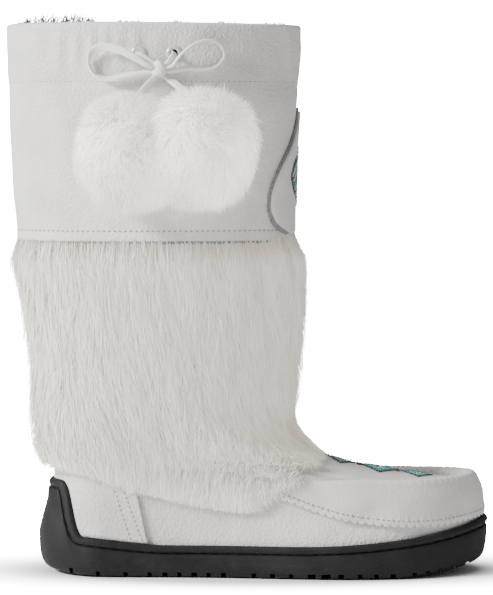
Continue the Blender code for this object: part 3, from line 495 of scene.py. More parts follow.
def furMaterial(name, root, body, tip, glow):  # glow stands for light passed on from hair to hair
    made = newMaterial(name, body, 0.8, Sheen_Weight=0.3, Sheen_Roughness=0.6, Emission_Strength=glow)
    tree = made.node_tree
    shader = tree.nodes["Principled BSDF"]
    shader.inputs["Specular IOR Level"].default_value = 0.2
    strand = tree.nodes.new("ShaderNodeVertexColor")
    strand.layer_name = "strand"
    parts = tree.nodes.new("ShaderNodeSeparateColor")
    tree.links.new(strand.outputs["Color"], parts.inputs["Color"])
    # the roots are coloured darker than the tips: painted shade deep in the fur
    along = rampNode(tree, parts.outputs["Green"], ((0.0, root), (0.45, body), (1.0, tip)))
    # the red channel darkens whole hairs: partly their own tone, partly painted shade
    shade = rampNode(tree, parts.outputs["Red"], ((0.0, (0.74, 0.725, 0.69)), (1.0, (1.0, 1.0, 1.0))))
    blend = tree.nodes.new("ShaderNodeMix")
    blend.data_type = "RGBA"
    blend.blend_type = "MULTIPLY"
    blend.inputs["Factor"].default_value = 1.0
    tree.links.new(along, blend.inputs["A"])
    tree.links.new(shade, blend.inputs["B"])
    tree.links.new(blend.outputs["Result"], shader.inputs["Base Color"])
    tree.links.new(blend.outputs["Result"], shader.inputs["Emission Color"])
    return made


def fuzzMaterial(name, dark, light, scale):
    made = newMaterial(name, light, 0.95, Sheen_Weight=0.4)
    tree = made.node_tree
    noise = noiseOf(tree, scale, 6.0)
    addBump(tree, noise, 0.0015, 0.9)
    rampTo(tree, noise, "Base Color", ((0.35, dark), (0.65, light)))
    return made


leatherWhite = leatherMaterial("whiteLeather", (0.555, 0.545, 0.52), (0.64, 0.63, 0.605), 620.0, 0.48, 0.5)
leatherSmooth = leatherMaterial("vampLeather", (0.55, 0.54, 0.52), (0.62, 0.61, 0.59), 900.0, 0.24, 0.46)
# dark grey of cut leather edges; along the cuff's foot it is also a painted shadow under the cuff
cutEdgeAndShadow = leatherMaterial("cutEdgeAndShadow", (0.16, 0.16, 0.155), (0.24, 0.235, 0.23), 900.0, 0.6, 0.8)
blackRubber = rubberMaterial()
# each fur's first colour is its root, darker as painted shade deep in the fur
furWhite = furMaterial("rabbitFur", (0.52, 0.49, 0.43), (0.88, 0.85, 0.77), (0.98, 0.955, 0.89), 0.26)
pomWhite = furMaterial("pompomFur", (0.80, 0.775, 0.72), (0.95, 0.935, 0.89), (0.98, 0.97, 0.935), 1.05)
pileGrey = furMaterial("liningPile", (0.42, 0.405, 0.385), (0.55, 0.535, 0.51), (0.66, 0.65, 0.625), 0.05)
underFur = fuzzMaterial("underFur", (0.80, 0.79, 0.76), (0.90, 0.89, 0.87), 900.0)
liningFelt = fuzzMaterial("liningFelt", (0.28, 0.27, 0.255), (0.46, 0.45, 0.425), 500.0)
laceWhite = leatherMaterial("laceLeather", (0.72, 0.72, 0.71), (0.80, 0.80, 0.79), 1500.0, 0.25, 0.42)
enamel = newMaterial("whiteEnamel", (0.60, 0.62, 0.645), 0.25, Metallic=0.35, Coat_Weight=0.6,
                     Coat_Roughness=0.1)
threadGrey = fuzzMaterial("greyThread", (0.17, 0.165, 0.16), (0.27, 0.265, 0.26), 2500.0)
# black thread; the same black is the painted shade in the eyelets' holes
threadBlackAndShade = newMaterial("blackThreadAndShade", (0.006, 0.006, 0.007), 0.95, Specular_IOR_Level=0.05)
print("materials ready")

# camera, light and floor

view = {"eye": (-0.0114, -1.75, 0.26), "tilt": 3.02, "focalPixels": 2855.0, "width": 493, "sensor": 36.0}
cameraData = bpy.data.cameras.new("camera")
cameraData.sensor_fit = "HORIZONTAL"
cameraData.sensor_width = view["sensor"]
cameraData.lens = view["sensor"] * view["focalPixels"] / view["width"]
camera = bpy.data.objects.new("camera", cameraData)
camera.location = view["eye"]
camera.rotation_euler = (math.radians(90 - view["tilt"]), 0.0, 0.0)
stageCollection.objects.link(camera)
bpy.context.scene.camera = camera


def areaLight(name, place, aim, size, power, colour=(1, 1, 1)):
    data = bpy.data.lights.new(name, "AREA")
    data.shape = "RECTANGLE"
    data.size, data.size_y = size
    data.energy = power
    data.color = colour
    lamp = bpy.data.objects.new(name, data)
    lamp.location = place
    lamp.rotation_euler = (Vector(aim) - Vector(place)).to_track_quat("-Z", "Y").to_euler()
    stageCollection.objects.link(lamp)


areaLight("keyLight", (-2.05, -0.95, 1.40), (0, 0, 0.16), (0.7, 0.7), 158.0, (1.0, 0.99, 0.965))
areaLight("fillLight", (1.5, -1.3, 0.6), (0, 0, 0.15), (1.2, 1.2), 2.0)
areaLight("topLight", (0.0, 0.1, 1.8), (0, 0, 0.1), (1.4, 1.4), 12.0)
studio = {  # glow of the sky and of the wall behind, glow of the floor, and the painted shadow under the sole where the floor's glow dims out
    "sky": 0.30, "wall": 40.0, "floorDim": 0.3, "floorBright": 36.0,
    "shadowLong": 0.150, "shadowWide": 0.060, "shadowFrom": 0.86, "shadowTo": 2.3,
}
world = bpy.data.worlds.new("studio")
world.use_nodes = True
skyNodes, skyLinks = world.node_tree.nodes, world.node_tree.links
softSky = skyNodes["Background"]
softSky.inputs["Strength"].default_value = studio["sky"]
softSky.inputs["Color"].default_value = (1.0, 0.99, 0.985, 1.0)
brightSky = skyNodes.new("ShaderNodeBackground")  # the pale studio wall that the camera sees
brightSky.inputs["Strength"].default_value = studio["wall"]
rays, sky = skyNodes.new("ShaderNodeLightPath"), skyNodes.new("ShaderNodeMixShader")
skyLinks.new(rays.outputs["Is Camera Ray"], sky.inputs["Fac"])
skyLinks.new(softSky.outputs[0], sky.inputs[1])
skyLinks.new(brightSky.outputs[0], sky.inputs[2])
skyLinks.new(sky.outputs[0], skyNodes["World Output"].inputs["Surface"])
bpy.context.scene.world = world

floorBm = bmesh.new()
bmesh.ops.create_grid(floorBm, x_segments=1, y_segments=1, size=6.0)
bmesh.ops.translate(floorBm, vec=(0, 0, -0.0002), verts=floorBm.verts)
floorMaterial = newMaterial("paleFloor", (0.88, 0.88, 0.885), 0.6)
floorNodes, floorLinks = floorMaterial.node_tree.nodes, floorMaterial.node_tree.links
floorNodes["Principled BSDF"].inputs["Emission Color"].default_value = (1, 1, 1, 1)
floorRays, floorGlow = floorNodes.new("ShaderNodeLightPath"), floorNodes.new("ShaderNodeMapRange")
floorGlow.inputs["To Min"].default_value = studio["floorDim"]
floorGlow.inputs["To Max"].default_value = studio["floorBright"]
# the floor's glow dims out in an oval round the sole: a painted shadow under the boot
floorPlace, shadowShape = floorNodes.new("ShaderNodeTexCoord"), floorNodes.new("ShaderNodeMapping")
shadowShape.inputs["Scale"].default_value = (1 / studio["shadowLong"], 1 / studio["shadowWide"], 0.0)
reach = floorNodes.new("ShaderNodeVectorMath")
reach.operation = "LENGTH"
shadowFade = floorNodes.new("ShaderNodeMapRange")
shadowFade.interpolation_type = "SMOOTHSTEP"
shadowFade.inputs["From Min"].default_value = studio["shadowFrom"]
shadowFade.inputs["From Max"].default_value = studio["shadowTo"]
lit = floorNodes.new("ShaderNodeMath")
lit.operation = "MULTIPLY"
for out, into in ((floorRays.outputs["Is Camera Ray"], floorGlow.inputs["Value"]),
                  (floorPlace.outputs["Object"], shadowShape.inputs["Vector"]),
                  (shadowShape.outputs[0], reach.inputs[0]), (reach.outputs["Value"], shadowFade.inputs["Value"]),
                  (shadowFade.outputs[0], lit.inputs[0]), (floorGlow.outputs[0], lit.inputs[1]),
                  (lit.outputs[0], floorNodes["Principled BSDF"].inputs["Emission Strength"])):
    floorLinks.new(out, into)
floor = finishMesh("floor", floorBm, floorMaterial)
print("camera, lights and floor ready")

# lace, knot and eyelets

bow = {
    "x": -0.065, "drop": 0.0185, "cuffFace": 0.0019, "spacing": 0.0207,
    "halfWidth": 0.0025, "thickness": 0.0018, "pompom": 0.026,
}
# forward, up and out in millimetres, as in the part
laceRuns = {
    "leadFront": ((10.3, 0.0, 2.0), (10.0, -1.2, 4.4), (8.4, -3.6, 5.8), (6.9, -5.6, 6.0)),
    "leadRear": ((-10.3, 0.0, 2.0), (-9.4, -1.0, 4.4), (-5.6, -3.4, 5.8), (-2.6, -5.2, 6.0)),
    "loopFront": (
        (7.8, -8.4, 8.0), (14.0, -1.0, 8.6), (22.0, 5.4, 7.8), (30.2, 7.6, 6.4), (36.6, 5.0, 5.2),
        (38.9, -1.0, 4.6), (35.0, -7.4, 4.4), (27.2, -9.9, 4.6), (18.0, -9.4, 5.0), (7.9, -10.9, 5.2),
    ),
    "loopRear": (
        (-3.4, -8.0, 8.0), (-11.0, -3.4, 8.4), (-21.0, 1.8, 7.6), (-31.4, 3.6, 6.2), (-37.4, 0.6, 5.2),
        (-38.9, -5.1, 4.6), (-36.0, -12.0, 4.4), (-29.0, -15.2, 4.6), (-18.0, -13.2, 5.0), (-3.5, -11.4, 5.2),
    ),
    "tailFront": ((6.3, -14.6, 5.6), (9.8, -17.4, 8.4), (14.0, -21.6, 14.0)),
    "tailRear": ((-1.0, -15.0, 5.6), (-4.0, -18.6, 8.0), (-8.1, -24.4, 12.0)),
}
eyeletZ = boot["collar"] - bow["drop"]


def onCuff(x, height, out):  # a point out from the cuff on the outer side
    u = np.linspace(0.02, 0.48, 400)
    h = np.full(400, float(cuffRow))
    for _ in range(8):
        z = skin.at(h, u)[:, 2]
        h = np.clip(h + (height - z) / (boot["cuff"] / 2), cuffRow, topRow)
    place = float(np.interp(-x, -skin.at(h, u)[:, 0], u))
    row = float(np.interp(place, u, h))
    return skin.at(np.array([row]), np.array([place]), np.array([bow["cuffFace"] + out]))[0]


def bowPoint(forward, up, out):
    return onCuff(bow["x"] + forward * mm, eyeletZ + up * mm, out * mm)


pompoms = {
    "Front": {"forward": 1.20, "down": 2.24, "stand": 1.20, "node": "pompom_front"},
    "Rear": {"forward": -0.83, "down": 2.42, "stand": 1.05, "node": "pompom_rear"},
}
for item in pompoms.values():
    radius = bow["pompom"]
    item["centre"] = onCuff(bow["x"] + item["forward"] * radius, eyeletZ - item["down"] * radius,
                            item["stand"] * radius)


# how far the ribbon is turned on edge, and its share of the full width, point by point
laceFacing = {
    "Front": (0.3, 0.3, 0.3, 0.3, 0.4, 0.5, 0.8, 0.9, 1.0, 1.0, 1.0,
              1.0, 1.0, 0.95, 0.8, 0.6, 0.5, 0.45, 0.4, 0.4, 0.4),
    "Rear": (0.3, 0.3, 0.3, 0.3, 0.3, 0.3, 0.2, 0.1, 0.1, 0.2, 0.6,
             0.95, 0.85, 0.6, 0.45, 0.4, 0.3, 0.1, 0.05, 0.1, 0.1),
}
laceShare = (0.7, 0.75, 0.8, 0.7, 0.6, 0.5, 0.6, 0.85, 1.0, 1.0, 0.95,
             0.9, 0.9, 0.9, 0.85, 0.6, 0.5, 0.75, 1.0, 1.0, 0.9)
bowOut = unit(np.array(bowPoint(0.0, -8.0, 8.0)) - np.array(bowPoint(0.0, -8.0, 2.0)))


def laceRoute(side):  # from the eyelet through the knot, round the loop, back through the knot and down
    way = 1 if side == "Front" else -1
    start = bowPoint(way * bow["spacing"] / 2 / mm, 0.0, -1.0)
    lead = [bowPoint(*p) for p in laceRuns["lead" + side]]
    over = bowPoint(2.2 + 1.2 * way, -8.6, 6.2)
    loop = [bowPoint(*p) for p in laceRuns["loop" + side]]
    under = bowPoint(2.2 + 0.8 * way, -11.4, 5.4)
    tail = [bowPoint(*p) for p in laceRuns["tail" + side]]
    centre = np.array(pompoms[side]["centre"])
    end = centre + (bow["pompom"] * 0.9) * unit(tail[-1] - centre)
    points = np.array([start, *lead, over, *loop, under, *tail, end])
    travelled = travel(points)
    steps = np.linspace(0.0, travelled[-1], 96)
    facing = np.interp(steps, travelled, laceFacing[side][:len(points)])
    share = np.interp(steps, travelled, laceShare[:len(points)])
    return through(travelled, points, steps), facing, share, start


def ribbon(name, route, facing, share, half, thickness, material):
    # a flat lace swept along its route, facing 0 where it lies flat and 1 where it stands on edge
    tangent = unit(np.gradient(route, axis=0))
    flat = np.cross(tangent, bowOut)
    for _ in range(4):
        flat = (flat + np.roll(flat, 1, axis=0) * (np.arange(len(flat)) > 0)[:, None]
                + np.roll(flat, -1, axis=0) * (np.arange(len(flat)) < len(flat) - 1)[:, None])
        flat = flat - tangent * np.sum(flat * tangent, axis=1, keepdims=True)
    flat = unit(flat)
    raised = np.cross(flat, tangent)
    angle = (facing * math.pi / 2)[:, None]
    wide = flat * np.cos(angle) + raised * np.sin(angle)
    deep = np.cross(wide, tangent)
    angles = np.linspace(0.0, 2 * math.pi, 15)[:-1]
    rows = [np.repeat(route[:1], len(angles), axis=0)]
    for k, place in enumerate(route):
        row = []
        for a in angles:
            across = half * share[k] * math.copysign(abs(math.cos(a)) ** 0.6, math.cos(a))
            above = thickness / 2 * math.copysign(abs(math.sin(a)) ** 0.7, math.sin(a))
            row.append(place + wide[k] * across + deep[k] * above)
        rows.append(np.array(row))
    rows.append(np.repeat(route[-1:], len(angles), axis=0))
    return loft(name, rows, material)


def makeLace(side):
    route, facing, share, start = laceRoute(side)
    obj = ribbon("lace" + side, route, facing, share, bow["halfWidth"], bow["thickness"], laceWhite)
    length = float(np.linalg.norm(np.diff(route, axis=0), axis=1).sum())
    print("lace", side, round(length, 4))
    return obj, start, length, route


laces = {side: makeLace(side) for side in ("Front", "Rear")}

tie = {  # the knot's middle in bow millimetres, its size, and the lean and reach of each wrap
    "middle": (2.2, -9.6, 6.2), "size": (0.0066, 0.0066, 0.0094), "pinch": 0.16,
    "wraps": ((0.35, 0.0043), (-0.9, 0.0040)), "wrapHalf": 0.0019, "wrapThickness": 0.0012,
}
knotBm = bmesh.new()
bmesh.ops.create_uvsphere(knotBm, u_segments=40, v_segments=24, radius=0.5)
for v in knotBm.verts:  # two wraps of lace with a valley between them, pinched towards the loops
    wrap = 1.0 - tie["pinch"] * math.exp(-((v.co.z + 0.05 - 0.35 * v.co.x) / 0.07) ** 2)
    square = 1.0 + 0.10 * (abs(v.co.x) + abs(v.co.z))
    v.co = Vector((v.co.x * wrap * square, v.co.y * wrap, v.co.z * square))
knotPlace = Matrix.Translation(Vector(bowPoint(*tie["middle"])))
bmesh.ops.transform(knotBm, verts=knotBm.verts, matrix=knotPlace @ Matrix.Diagonal((*tie["size"], 1)))
knot = settle(finishMesh("laceKnot", knotBm, laceWhite), "drawstring_knot")
for k, (lean, reach) in enumerate(tie["wraps"]):  # two turns of the ribbon over the knot
    turn = np.linspace(-1.9, 1.9, 26)
    side = np.array([math.cos(lean), 0.0, math.sin(lean)])
    middle = np.array(bowPoint(2.2, -9.6 + 1.2 * (k * 2 - 1), 6.0))
    route = middle + np.sin(turn)[:, None] * side * reach + np.cos(turn)[:, None] * bowOut * reach
    wrap = ribbon(f"knotWrap{k}", route, np.zeros(26), np.full(26, 1.0),
                  tie["wrapHalf"], tie["wrapThickness"], laceWhite)
    settle(wrap, None)

eyelet = {"hole": 0.0022, "radius": 0.0047, "rise": 0.0014}
for name, way in (("eyelet_front", 1), ("eyelet_rear", -1)):
    x = bow["x"] + way * bow["spacing"] / 2
    centre = Vector(onCuff(x, eyeletZ, 0.0))
    turn = (Vector(onCuff(x, eyeletZ, 0.004)) - centre).to_track_quat("Z", "Y").to_matrix().to_4x4()
    bm = bmesh.new()
    tube = (eyelet["radius"] - eyelet["hole"]) / 2
    angles = np.linspace(0, 2 * math.pi, 15)[:-1]
    outs = [eyelet["hole"] + tube * (1 + math.cos(a)) for a in angles]
    lifts = [0.0004 + eyelet["rise"] * math.sin(a) * 0.8 for a in angles]
    ring = [bm.verts.new((out, 0.0, lift)) for out, lift in zip(outs, lifts)]
    edges = [bm.edges.new((ring[k], ring[(k + 1) % 14])) for k in range(14)]
    bmesh.ops.spin(bm, geom=ring + edges, cent=(0, 0, 0), axis=(0, 0, 1), angle=2 * math.pi,
                   steps=40, use_merge=True)
    bmesh.ops.remove_doubles(bm, verts=bm.verts, dist=1e-6)
    bmesh.ops.transform(bm, verts=bm.verts, matrix=Matrix.Translation(centre) @ turn)
    bmesh.ops.recalc_face_normals(bm, faces=bm.faces)
    settle(finishMesh(name + "_ring", bm, enamel), name)
    # a black disc in each eyelet's hole: painted shade inside the hole
    bm = bmesh.new()
    bmesh.ops.create_circle(bm, cap_ends=True, segments=32, radius=eyelet["hole"] * 1.15,
                            matrix=Matrix.Translation(centre) @ turn @ Matrix.Translation((0, 0, 0.0002)))
    settle(finishMesh(name + "_holeShade", bm, threadBlackAndShade), None)
print("bow ready")

# leather

allU = np.linspace(0.0, 1.0, 256, endpoint=False)
allHem = skin.along(hemRow, allU)
allHemLength = skin.along(hemLength, allU)
quarter = {"rows": 40, "top": 11.0, "wall": 0.002}
creaseTable = (  # middle x and z, slope, reach, depth (below 0 for a trough), whether on the outer side
    (0.052, 0.034, 0.55, 0.016, -0.0011, True), (0.064, 0.037, 0.70, 0.014, -0.0008, True),
    (0.040, 0.030, 0.35, 0.020, 0.0007, True), (0.050, 0.034, 0.60, 0.016, -0.0011, False),
    (-0.036, 0.031, 0.10, 0.030, -0.0007, True), (-0.120, 0.250, 1.6, 0.060, -0.0009, True),
    (-0.100, 0.285, 0.2, 0.050, 0.0008, True), (-0.020, 0.262, -0.9, 0.045, -0.0009, True),
    (-0.125, 0.235, 0.1, 0.040, 0.0007, True), (0.000, 0.285, 0.3, 0.030, 0.0007, True),
    (-0.060, 0.240, 0.15, 0.070, -0.0008, False), (-0.020, 0.290, -0.5, 0.040, 0.0009, False),
)


def creases(points, out):  # soft troughs and ridges, in and out of the leather
    x, z = points[..., 0], points[..., 2]
    outer = points[..., 1] < 0
    move = np.zeros_like(x)
    for middleX, middleZ, slope, reach, depth, onOuter in creaseTable:
        run, rise = x - middleX, z - middleZ
        length = math.hypot(1.0, slope)
        alongLine, acrossLine = (run + slope * rise) / length, (rise - slope * run) / length
        width = 0.22 * reach + 0.0035
        bump = np.exp(-((alongLine / reach) ** 2) - (acrossLine / width) ** 2)
        move += depth * bump * (outer == onOuter)
    return out + move


# the quarter runs from inside the sole up under the fur, all round the foot and shaft
quarterRows = []
for t in np.linspace(0.0, quarter["top"], quarter["rows"]):
    h = np.full(len(allU), t)
    quarterRows.append(skin.at(h, allU, creases(skin.at(h, allU), np.zeros(len(allU)))))
quarterPiece = loft("quarterLeather", quarterRows, leatherWhite, wall=-quarter["wall"])
settle(quarterPiece, "upper")

vamp = {
    "thickness": 0.0015, "out": 0.0007, "pitch": 0.0049, "depth": 0.0021, "tuck": 0.010,
    "rows": 40, "columns": 520, "edgeRoll": 0.0006,
    "ridgeRow": 4.15, "ridge": 0.0019, "grooveRow": 4.93, "groove": 0.0027,
    "puckerRow": 4.6, "pucker": 0.0004, "puckerPitch": 0.0050,
}


def scallop(distance, pitch, depth):  # rounded teeth along a pinked edge
    return depth * np.abs(np.sin(math.pi * distance / pitch)) ** 0.8


def vampSpan():
    reach = next(c for c in range(skin.columns // 2) if vampRow[c] + 0.25 > hemRow[c] + 0.9)
    return reach / skin.columns


vampReach = vampSpan()
vampU = np.linspace(-vampReach, vampReach, vamp["columns"])
vampLow = skin.along(np.maximum(vampRow, soleRow + 0.12), vampU)
vampHigh = skin.climb(skin.along(hemRow, vampU), vampU, vamp["tuck"])
vampHigh = np.maximum(vampHigh, vampLow + 0.3)
edgeLine = skin.at(vampLow, vampU, np.full(len(vampU), 0.001))
edgeDistance = travel(edgeLine)
pinkedLow = skin.climb(vampLow, vampU, vamp["depth"] - scallop(edgeDistance, vamp["pitch"], vamp["depth"]))


def vampOut(h, u, distance):  # how far the vamp stands out, with the toe's ridge, its groove and puckers
    place = skin.at(h, u)
    inToe = smooth((place[:, 0] - 0.030) / 0.035)
    ridge = vamp["ridge"] * bell(h, vamp["ridgeRow"], 0.36)
    ridge = ridge - vamp["groove"] * bell(h, vamp["grooveRow"], 0.24)
    pucker = vamp["pucker"] * np.sin(distance / vamp["puckerPitch"] * 2 * math.pi)
    pucker = pucker * bell(h, vamp["puckerRow"], 0.35) * smooth((place[:, 0] - 0.080) / 0.03)
    return creases(place, vamp["out"] + ridge * inToe) + pucker


vampRows = []
for t in np.linspace(0.0, 1.0, vamp["rows"]) ** 1.3:
    h = mix(pinkedLow, vampHigh, t)
    out = vampOut(h, vampU, edgeDistance) + vamp["edgeRoll"] * bell(t, 0.02, 0.03)
    vampRows.append(skin.at(h, vampU, out))
vampPiece = loft("vampLeather", vampRows, leatherSmooth, closed=False, wall=vamp["thickness"])
settle(vampPiece, "vamp")

counter = {
    "foot": 0.236, "top": 0.170, "out": 0.0006, "thickness": 0.0015, "tuck": 0.010,
    "seams": (("Front", 0.0030), ("Back", 0.0100)), "girth": 0.62,
}


def uOfShare(share):
    return float(np.interp(-share, -skin.shares, np.arange(len(skin.shares)))) / skin.columns


counterRows = []
for t in np.linspace(0.0, 1.0, 26):
    edge = uOfShare(mix(counter["foot"], counter["top"], t))
    u = np.linspace(edge, 1.0 - edge, 180)
    low = skin.along(soleRow, u) + 0.02
    high = skin.climb(skin.along(hemRow, u), u, counter["tuck"])
    h = mix(low, high, t)
    counterRows.append(skin.at(h, u, np.full(len(u), counter["out"])))
counterPiece = loft("heelCounterLeather", counterRows, leatherWhite, closed=False, wall=counter["thickness"])
settle(counterPiece, "heel_counter")

cuff = {
    "thickness": 0.0016, "hem": 0.035, "roll": 0.0022, "inside": 0.026, "under": 0.06,
    "hemStep": 0.0007, "groove": 0.0006, "slack": 0.0005, "footRoll": 0.0005,
    "pull": 0.0021, "footPull": 0.0013,
}


def cuffPull(u, z):  # the cuff lies closer at the front, most near its foot
    near = smooth(1.0 - fromToe(u) / 0.10)
    return near * (cuff["pull"] + cuff["footPull"] * smooth((0.300 - z) / 0.06))


def rimDrop(points):  # the rim dips a little towards the front
    points = points.copy()
    drop = 0.0014 + 0.0008 * smooth((points[:, 0] + 0.10) / 0.12)
    points[:, 2] -= drop * smooth((points[:, 2] - 0.316) / 0.018)
    return points


def cuffProfile():
    rows = []
    count = len(allU)
    face = boot["gap"] + cuff["thickness"]
    hemShare = 1 - cuff["hem"] / (boot["cuff"] / 2) / (2 + cuff["under"])
    levels = np.concatenate([np.linspace(0.0, 1.0, 48), hemShare + np.linspace(-0.015, 0.015, 7)])
    for t in np.sort(levels):
        h = np.full(count, mix(cuffRow - cuff["under"], float(topRow), t))
        flat = skin.at(h, allU)
        fromTop = boot["collar"] - flat[:, 2]
        fromFoot = flat[:, 2] - cuffZ
        # the folded hem is a layer thicker, with a groove along its edge
        out = face - cuffPull(allU, flat[:, 2])
        out = out + cuff["hemStep"] * smooth((cuff["hem"] - fromTop) / 0.002)
        out = out - cuff["groove"] * bell(fromTop, cuff["hem"], 0.0014)
        # slack of the drawn channel
        slack = np.sin(allU * 2 * math.pi * 23 + 9 * np.sin(allU * 19))
        slack = slack + 0.8 * np.sin(allU * 2 * math.pi * 11 + 60 * fromTop)
        out = out + cuff["slack"] * slack * bell(fromTop, 0.016, 0.010)
        out = out + cuff["footRoll"] * smooth(1 - fromFoot / 0.004)
        rows.append(rimDrop(skin.at(h, allU, creases(flat, out))))
    top = np.full(count, float(topRow))
    rim = face + cuff["hemStep"]
    pull = cuffPull(allU, np.full(count, boot["collar"]))
    width = (rim + boot["leather"]) / 2 - pull / 2
    for a in np.linspace(0.0, math.pi, 9)[1:]:  # rolled rim
        ring = rimDrop(skin.at(top, allU, rim - pull - width + width * math.cos(a)))
        ring[:, 2] += cuff["roll"] * math.sin(a) * 0.9
        rows.append(ring)
    for t in np.linspace(0.0, 1.0, 6)[1:]:
        h = skin.climb(top, allU, -cuff["inside"] * t)
        rows.append(rimDrop(skin.at(h, allU, np.full(count, -boot["leather"] - 0.0002))))
    return rows


settle(loft("cuffLeather", cuffProfile(), leatherWhite), "cuff")
h = np.full(len(allU), cuffRow - cuff["under"])
flat = skin.at(h, allU)
face = boot["gap"] + cuff["thickness"] + cuff["footRoll"] - cuffPull(allU, flat[:, 2])
edgeRows = []  # the cut edge along the cuff's foot, its dark grey also a painted shadow under the cuff
for lift, out in ((0.0002, -0.0016), (-0.0013, -0.0010), (-0.0014, 0.0), (-0.0008, 0.0003), (0.0004, 0.0001)):
    row = skin.at(h, allU, creases(flat, face + out))
    row[:, 2] += lift
    edgeRows.append(row)
settle(loft("cuffCutEdgeAndShadow", edgeRows, cutEdgeAndShadow), None)

lining = {"rows": 30, "gap": 0.0004, "thickness": 0.0016}
liningRows = []
for t in np.linspace(0.0, 1.0, lining["rows"]):
    h = mix(float(topRow) - 0.05, 0.35, t)
    inner = np.full(len(allU), -boot["leather"] - lining["gap"] - lining["thickness"] * min(1.0, t * 12))
    liningRows.append(rimDrop(skin.at(np.full(len(allU), h), allU, inner)))
settle(loft("shaftLining", liningRows, liningFelt), None)

footbed = {
    "inset": 0.0032,  # and the footbed's profile, as reach from the middle and rise from the floor
    "profile": ((0.0, 0.0), (1.0, 0.0), (1.0, 0.0030), (0.985, 0.0038), (0.95, 0.0040),
                (0.6, 0.0036), (0.0, 0.0034)),
}
footRow = skin.at(np.zeros(len(allU)), allU, np.full(len(allU), -footbed["inset"]))
mirrored = footRow[(-np.arange(len(allU))) % len(allU)]
middle = (footRow + mirrored) / 2
footbedRows = []
for reach, rise in footbed["profile"]:
    row = mix(middle, footRow, reach)
    row[:, 2] = boot["soleFloor"] + boot["gap"] + treadRise(row[:, 0]) + rise
    footbedRows.append(row)
settle(loft("footbed", footbedRows, liningFelt), "insole")
print("leather ready")

# tab

tab = {
    "height": 0.078, "half": 0.037, "out": 0.0021, "backing": 0.0010, "thickness": 0.0014,
    "border": 0.0021, "pitch": 0.0034, "depth": 0.0011, "puff": 0.0005, "girth": 0.36,
    "rows": 170, "columns": 21,
}
tabRows = (  # share of the height, share of the half width
    (0.00, 0.50), (0.06, 0.80), (0.15, 0.97), (0.30, 1.00), (0.50, 0.82), (0.72, 0.46),
    (0.90, 0.15), (1.00, 0.03),
)
tabFace = tab["out"] + tab["backing"] + tab["thickness"] + boot["gap"]


def tabPoint(across, level, out):
    # across is in metres round the shaft from its front line, level goes from the foot, 0, to the tip, 1
    height = cuffZ + level * tab["height"]
    h = cuffRow + np.clip((height - cuffZ) / boot["cuff"], 0, 1) * 2.0
    u = across / tab["girth"]
    for _ in range(3):
        z = skin.at(h, u)[..., 2]
        h = np.clip(h + (height - z) / (boot["cuff"] / 2), cuffRow - 1, topRow)
    beside = skin.at(h, np.full_like(u, 0.004)) - skin.at(h, np.full_like(u, 0.0))
    span = np.linalg.norm(beside, axis=-1) / 0.004
    around = across / span
    return skin.at(h, around, out - cuffPull(around, skin.at(h, around)[..., 2]))


def tabSheet(name, shrink, pinked, out, thickness, material):
    levels = np.linspace(0.0, 1.0, tab["rows"])
    halves = through([r[0] for r in tabRows], [r[1] for r in tabRows], levels) * tab["half"]
    outline = travel(np.stack([levels * tab["height"], halves], axis=1))
    if pinked:
        halves = halves - tab["depth"] + scallop(outline, tab["pitch"], tab["depth"])
    levels = levels * (tab["height"] - 2 * shrink) / tab["height"] + shrink / tab["height"]
    halves = np.maximum(halves - shrink, 0.0012)
    lines = []
    for level, half in zip(levels, halves):
        across = np.linspace(-half, half, tab["columns"])
        puff = tab["puff"] * (1 - (across / half) ** 2)
        lines.append(tabPoint(across, np.full(tab["columns"], level), out + puff))
    return settle(loft(name, lines, material, closed=False, wall=thickness), None)


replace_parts(tabSheet("tabCutEdge", 0.0, True, tab["out"], tab["backing"], cutEdgeAndShadow), "cuff_tab")
tabSheet("tabLeather", tab["border"], False, tab["out"] + tab["backing"], tab["thickness"], leatherSmooth)
print("tab ready")

# sole

sole = {"columns": 320, "grooveWidth": 0.0028, "lugDepth": 0.0034, "spine": 0.012, "sharpFrom": 35}
sideTop = (  # drop from the rim in bead heights, reach out in walls
    (1.36, 1.02), (1.30, 0.98), (1.24, 0.72), (1.13, 0.68), (1.02, 0.72), (0.94, 0.94),
    (0.80, 1.02), (0.60, 1.06), (0.40, 1.04), (0.20, 0.94), (0.07, 0.78), (0.00, 0.45),
)
sideLow = (  # share of the way from the tread to the groove, reach out in walls
    (0.00, 0.10), (0.02, 0.45), (0.07, 0.85), (0.14, 1.10), (0.24, 1.27), (0.45, 1.42),
    (0.62, 1.36), (0.85, 1.14),
)
lugPlaces = (  # share of the length, width in groove widths
    (0.060, 0.9), (0.122, 0.9), (0.184, 0.9), (0.237, 0.9), (0.2695, 1.1), (0.302, 0.9),
    (0.3345, 1.2), (0.367, 0.9), (0.3995, 1.0), (0.467, 1.0), (0.5085, 1.1), (0.550, 1.0),
    (0.596, 1.7), (0.628, 2.0), (0.660, 1.3), (0.702, 1.0), (0.738, 0.9), (0.774, 1.1),
    (0.820, 0.9), (0.848, 0.8), (0.875, 0.9), (0.902, 0.8), (0.929, 0.9), (0.954, 0.7),
)


def sidePoint(u, height, out):  # a point out from the foot at a height, found in its first five rings
    columns = [int(round(a * skin.columns)) % skin.columns for a in u]
    h = np.array([np.interp(z, skin.points[:41, c, 2], skin.h[:41]) for c, z in zip(columns, height)])
    point = skin.at(h, u, boot["gap"] + out)
    point[:, 2] = height
    return point


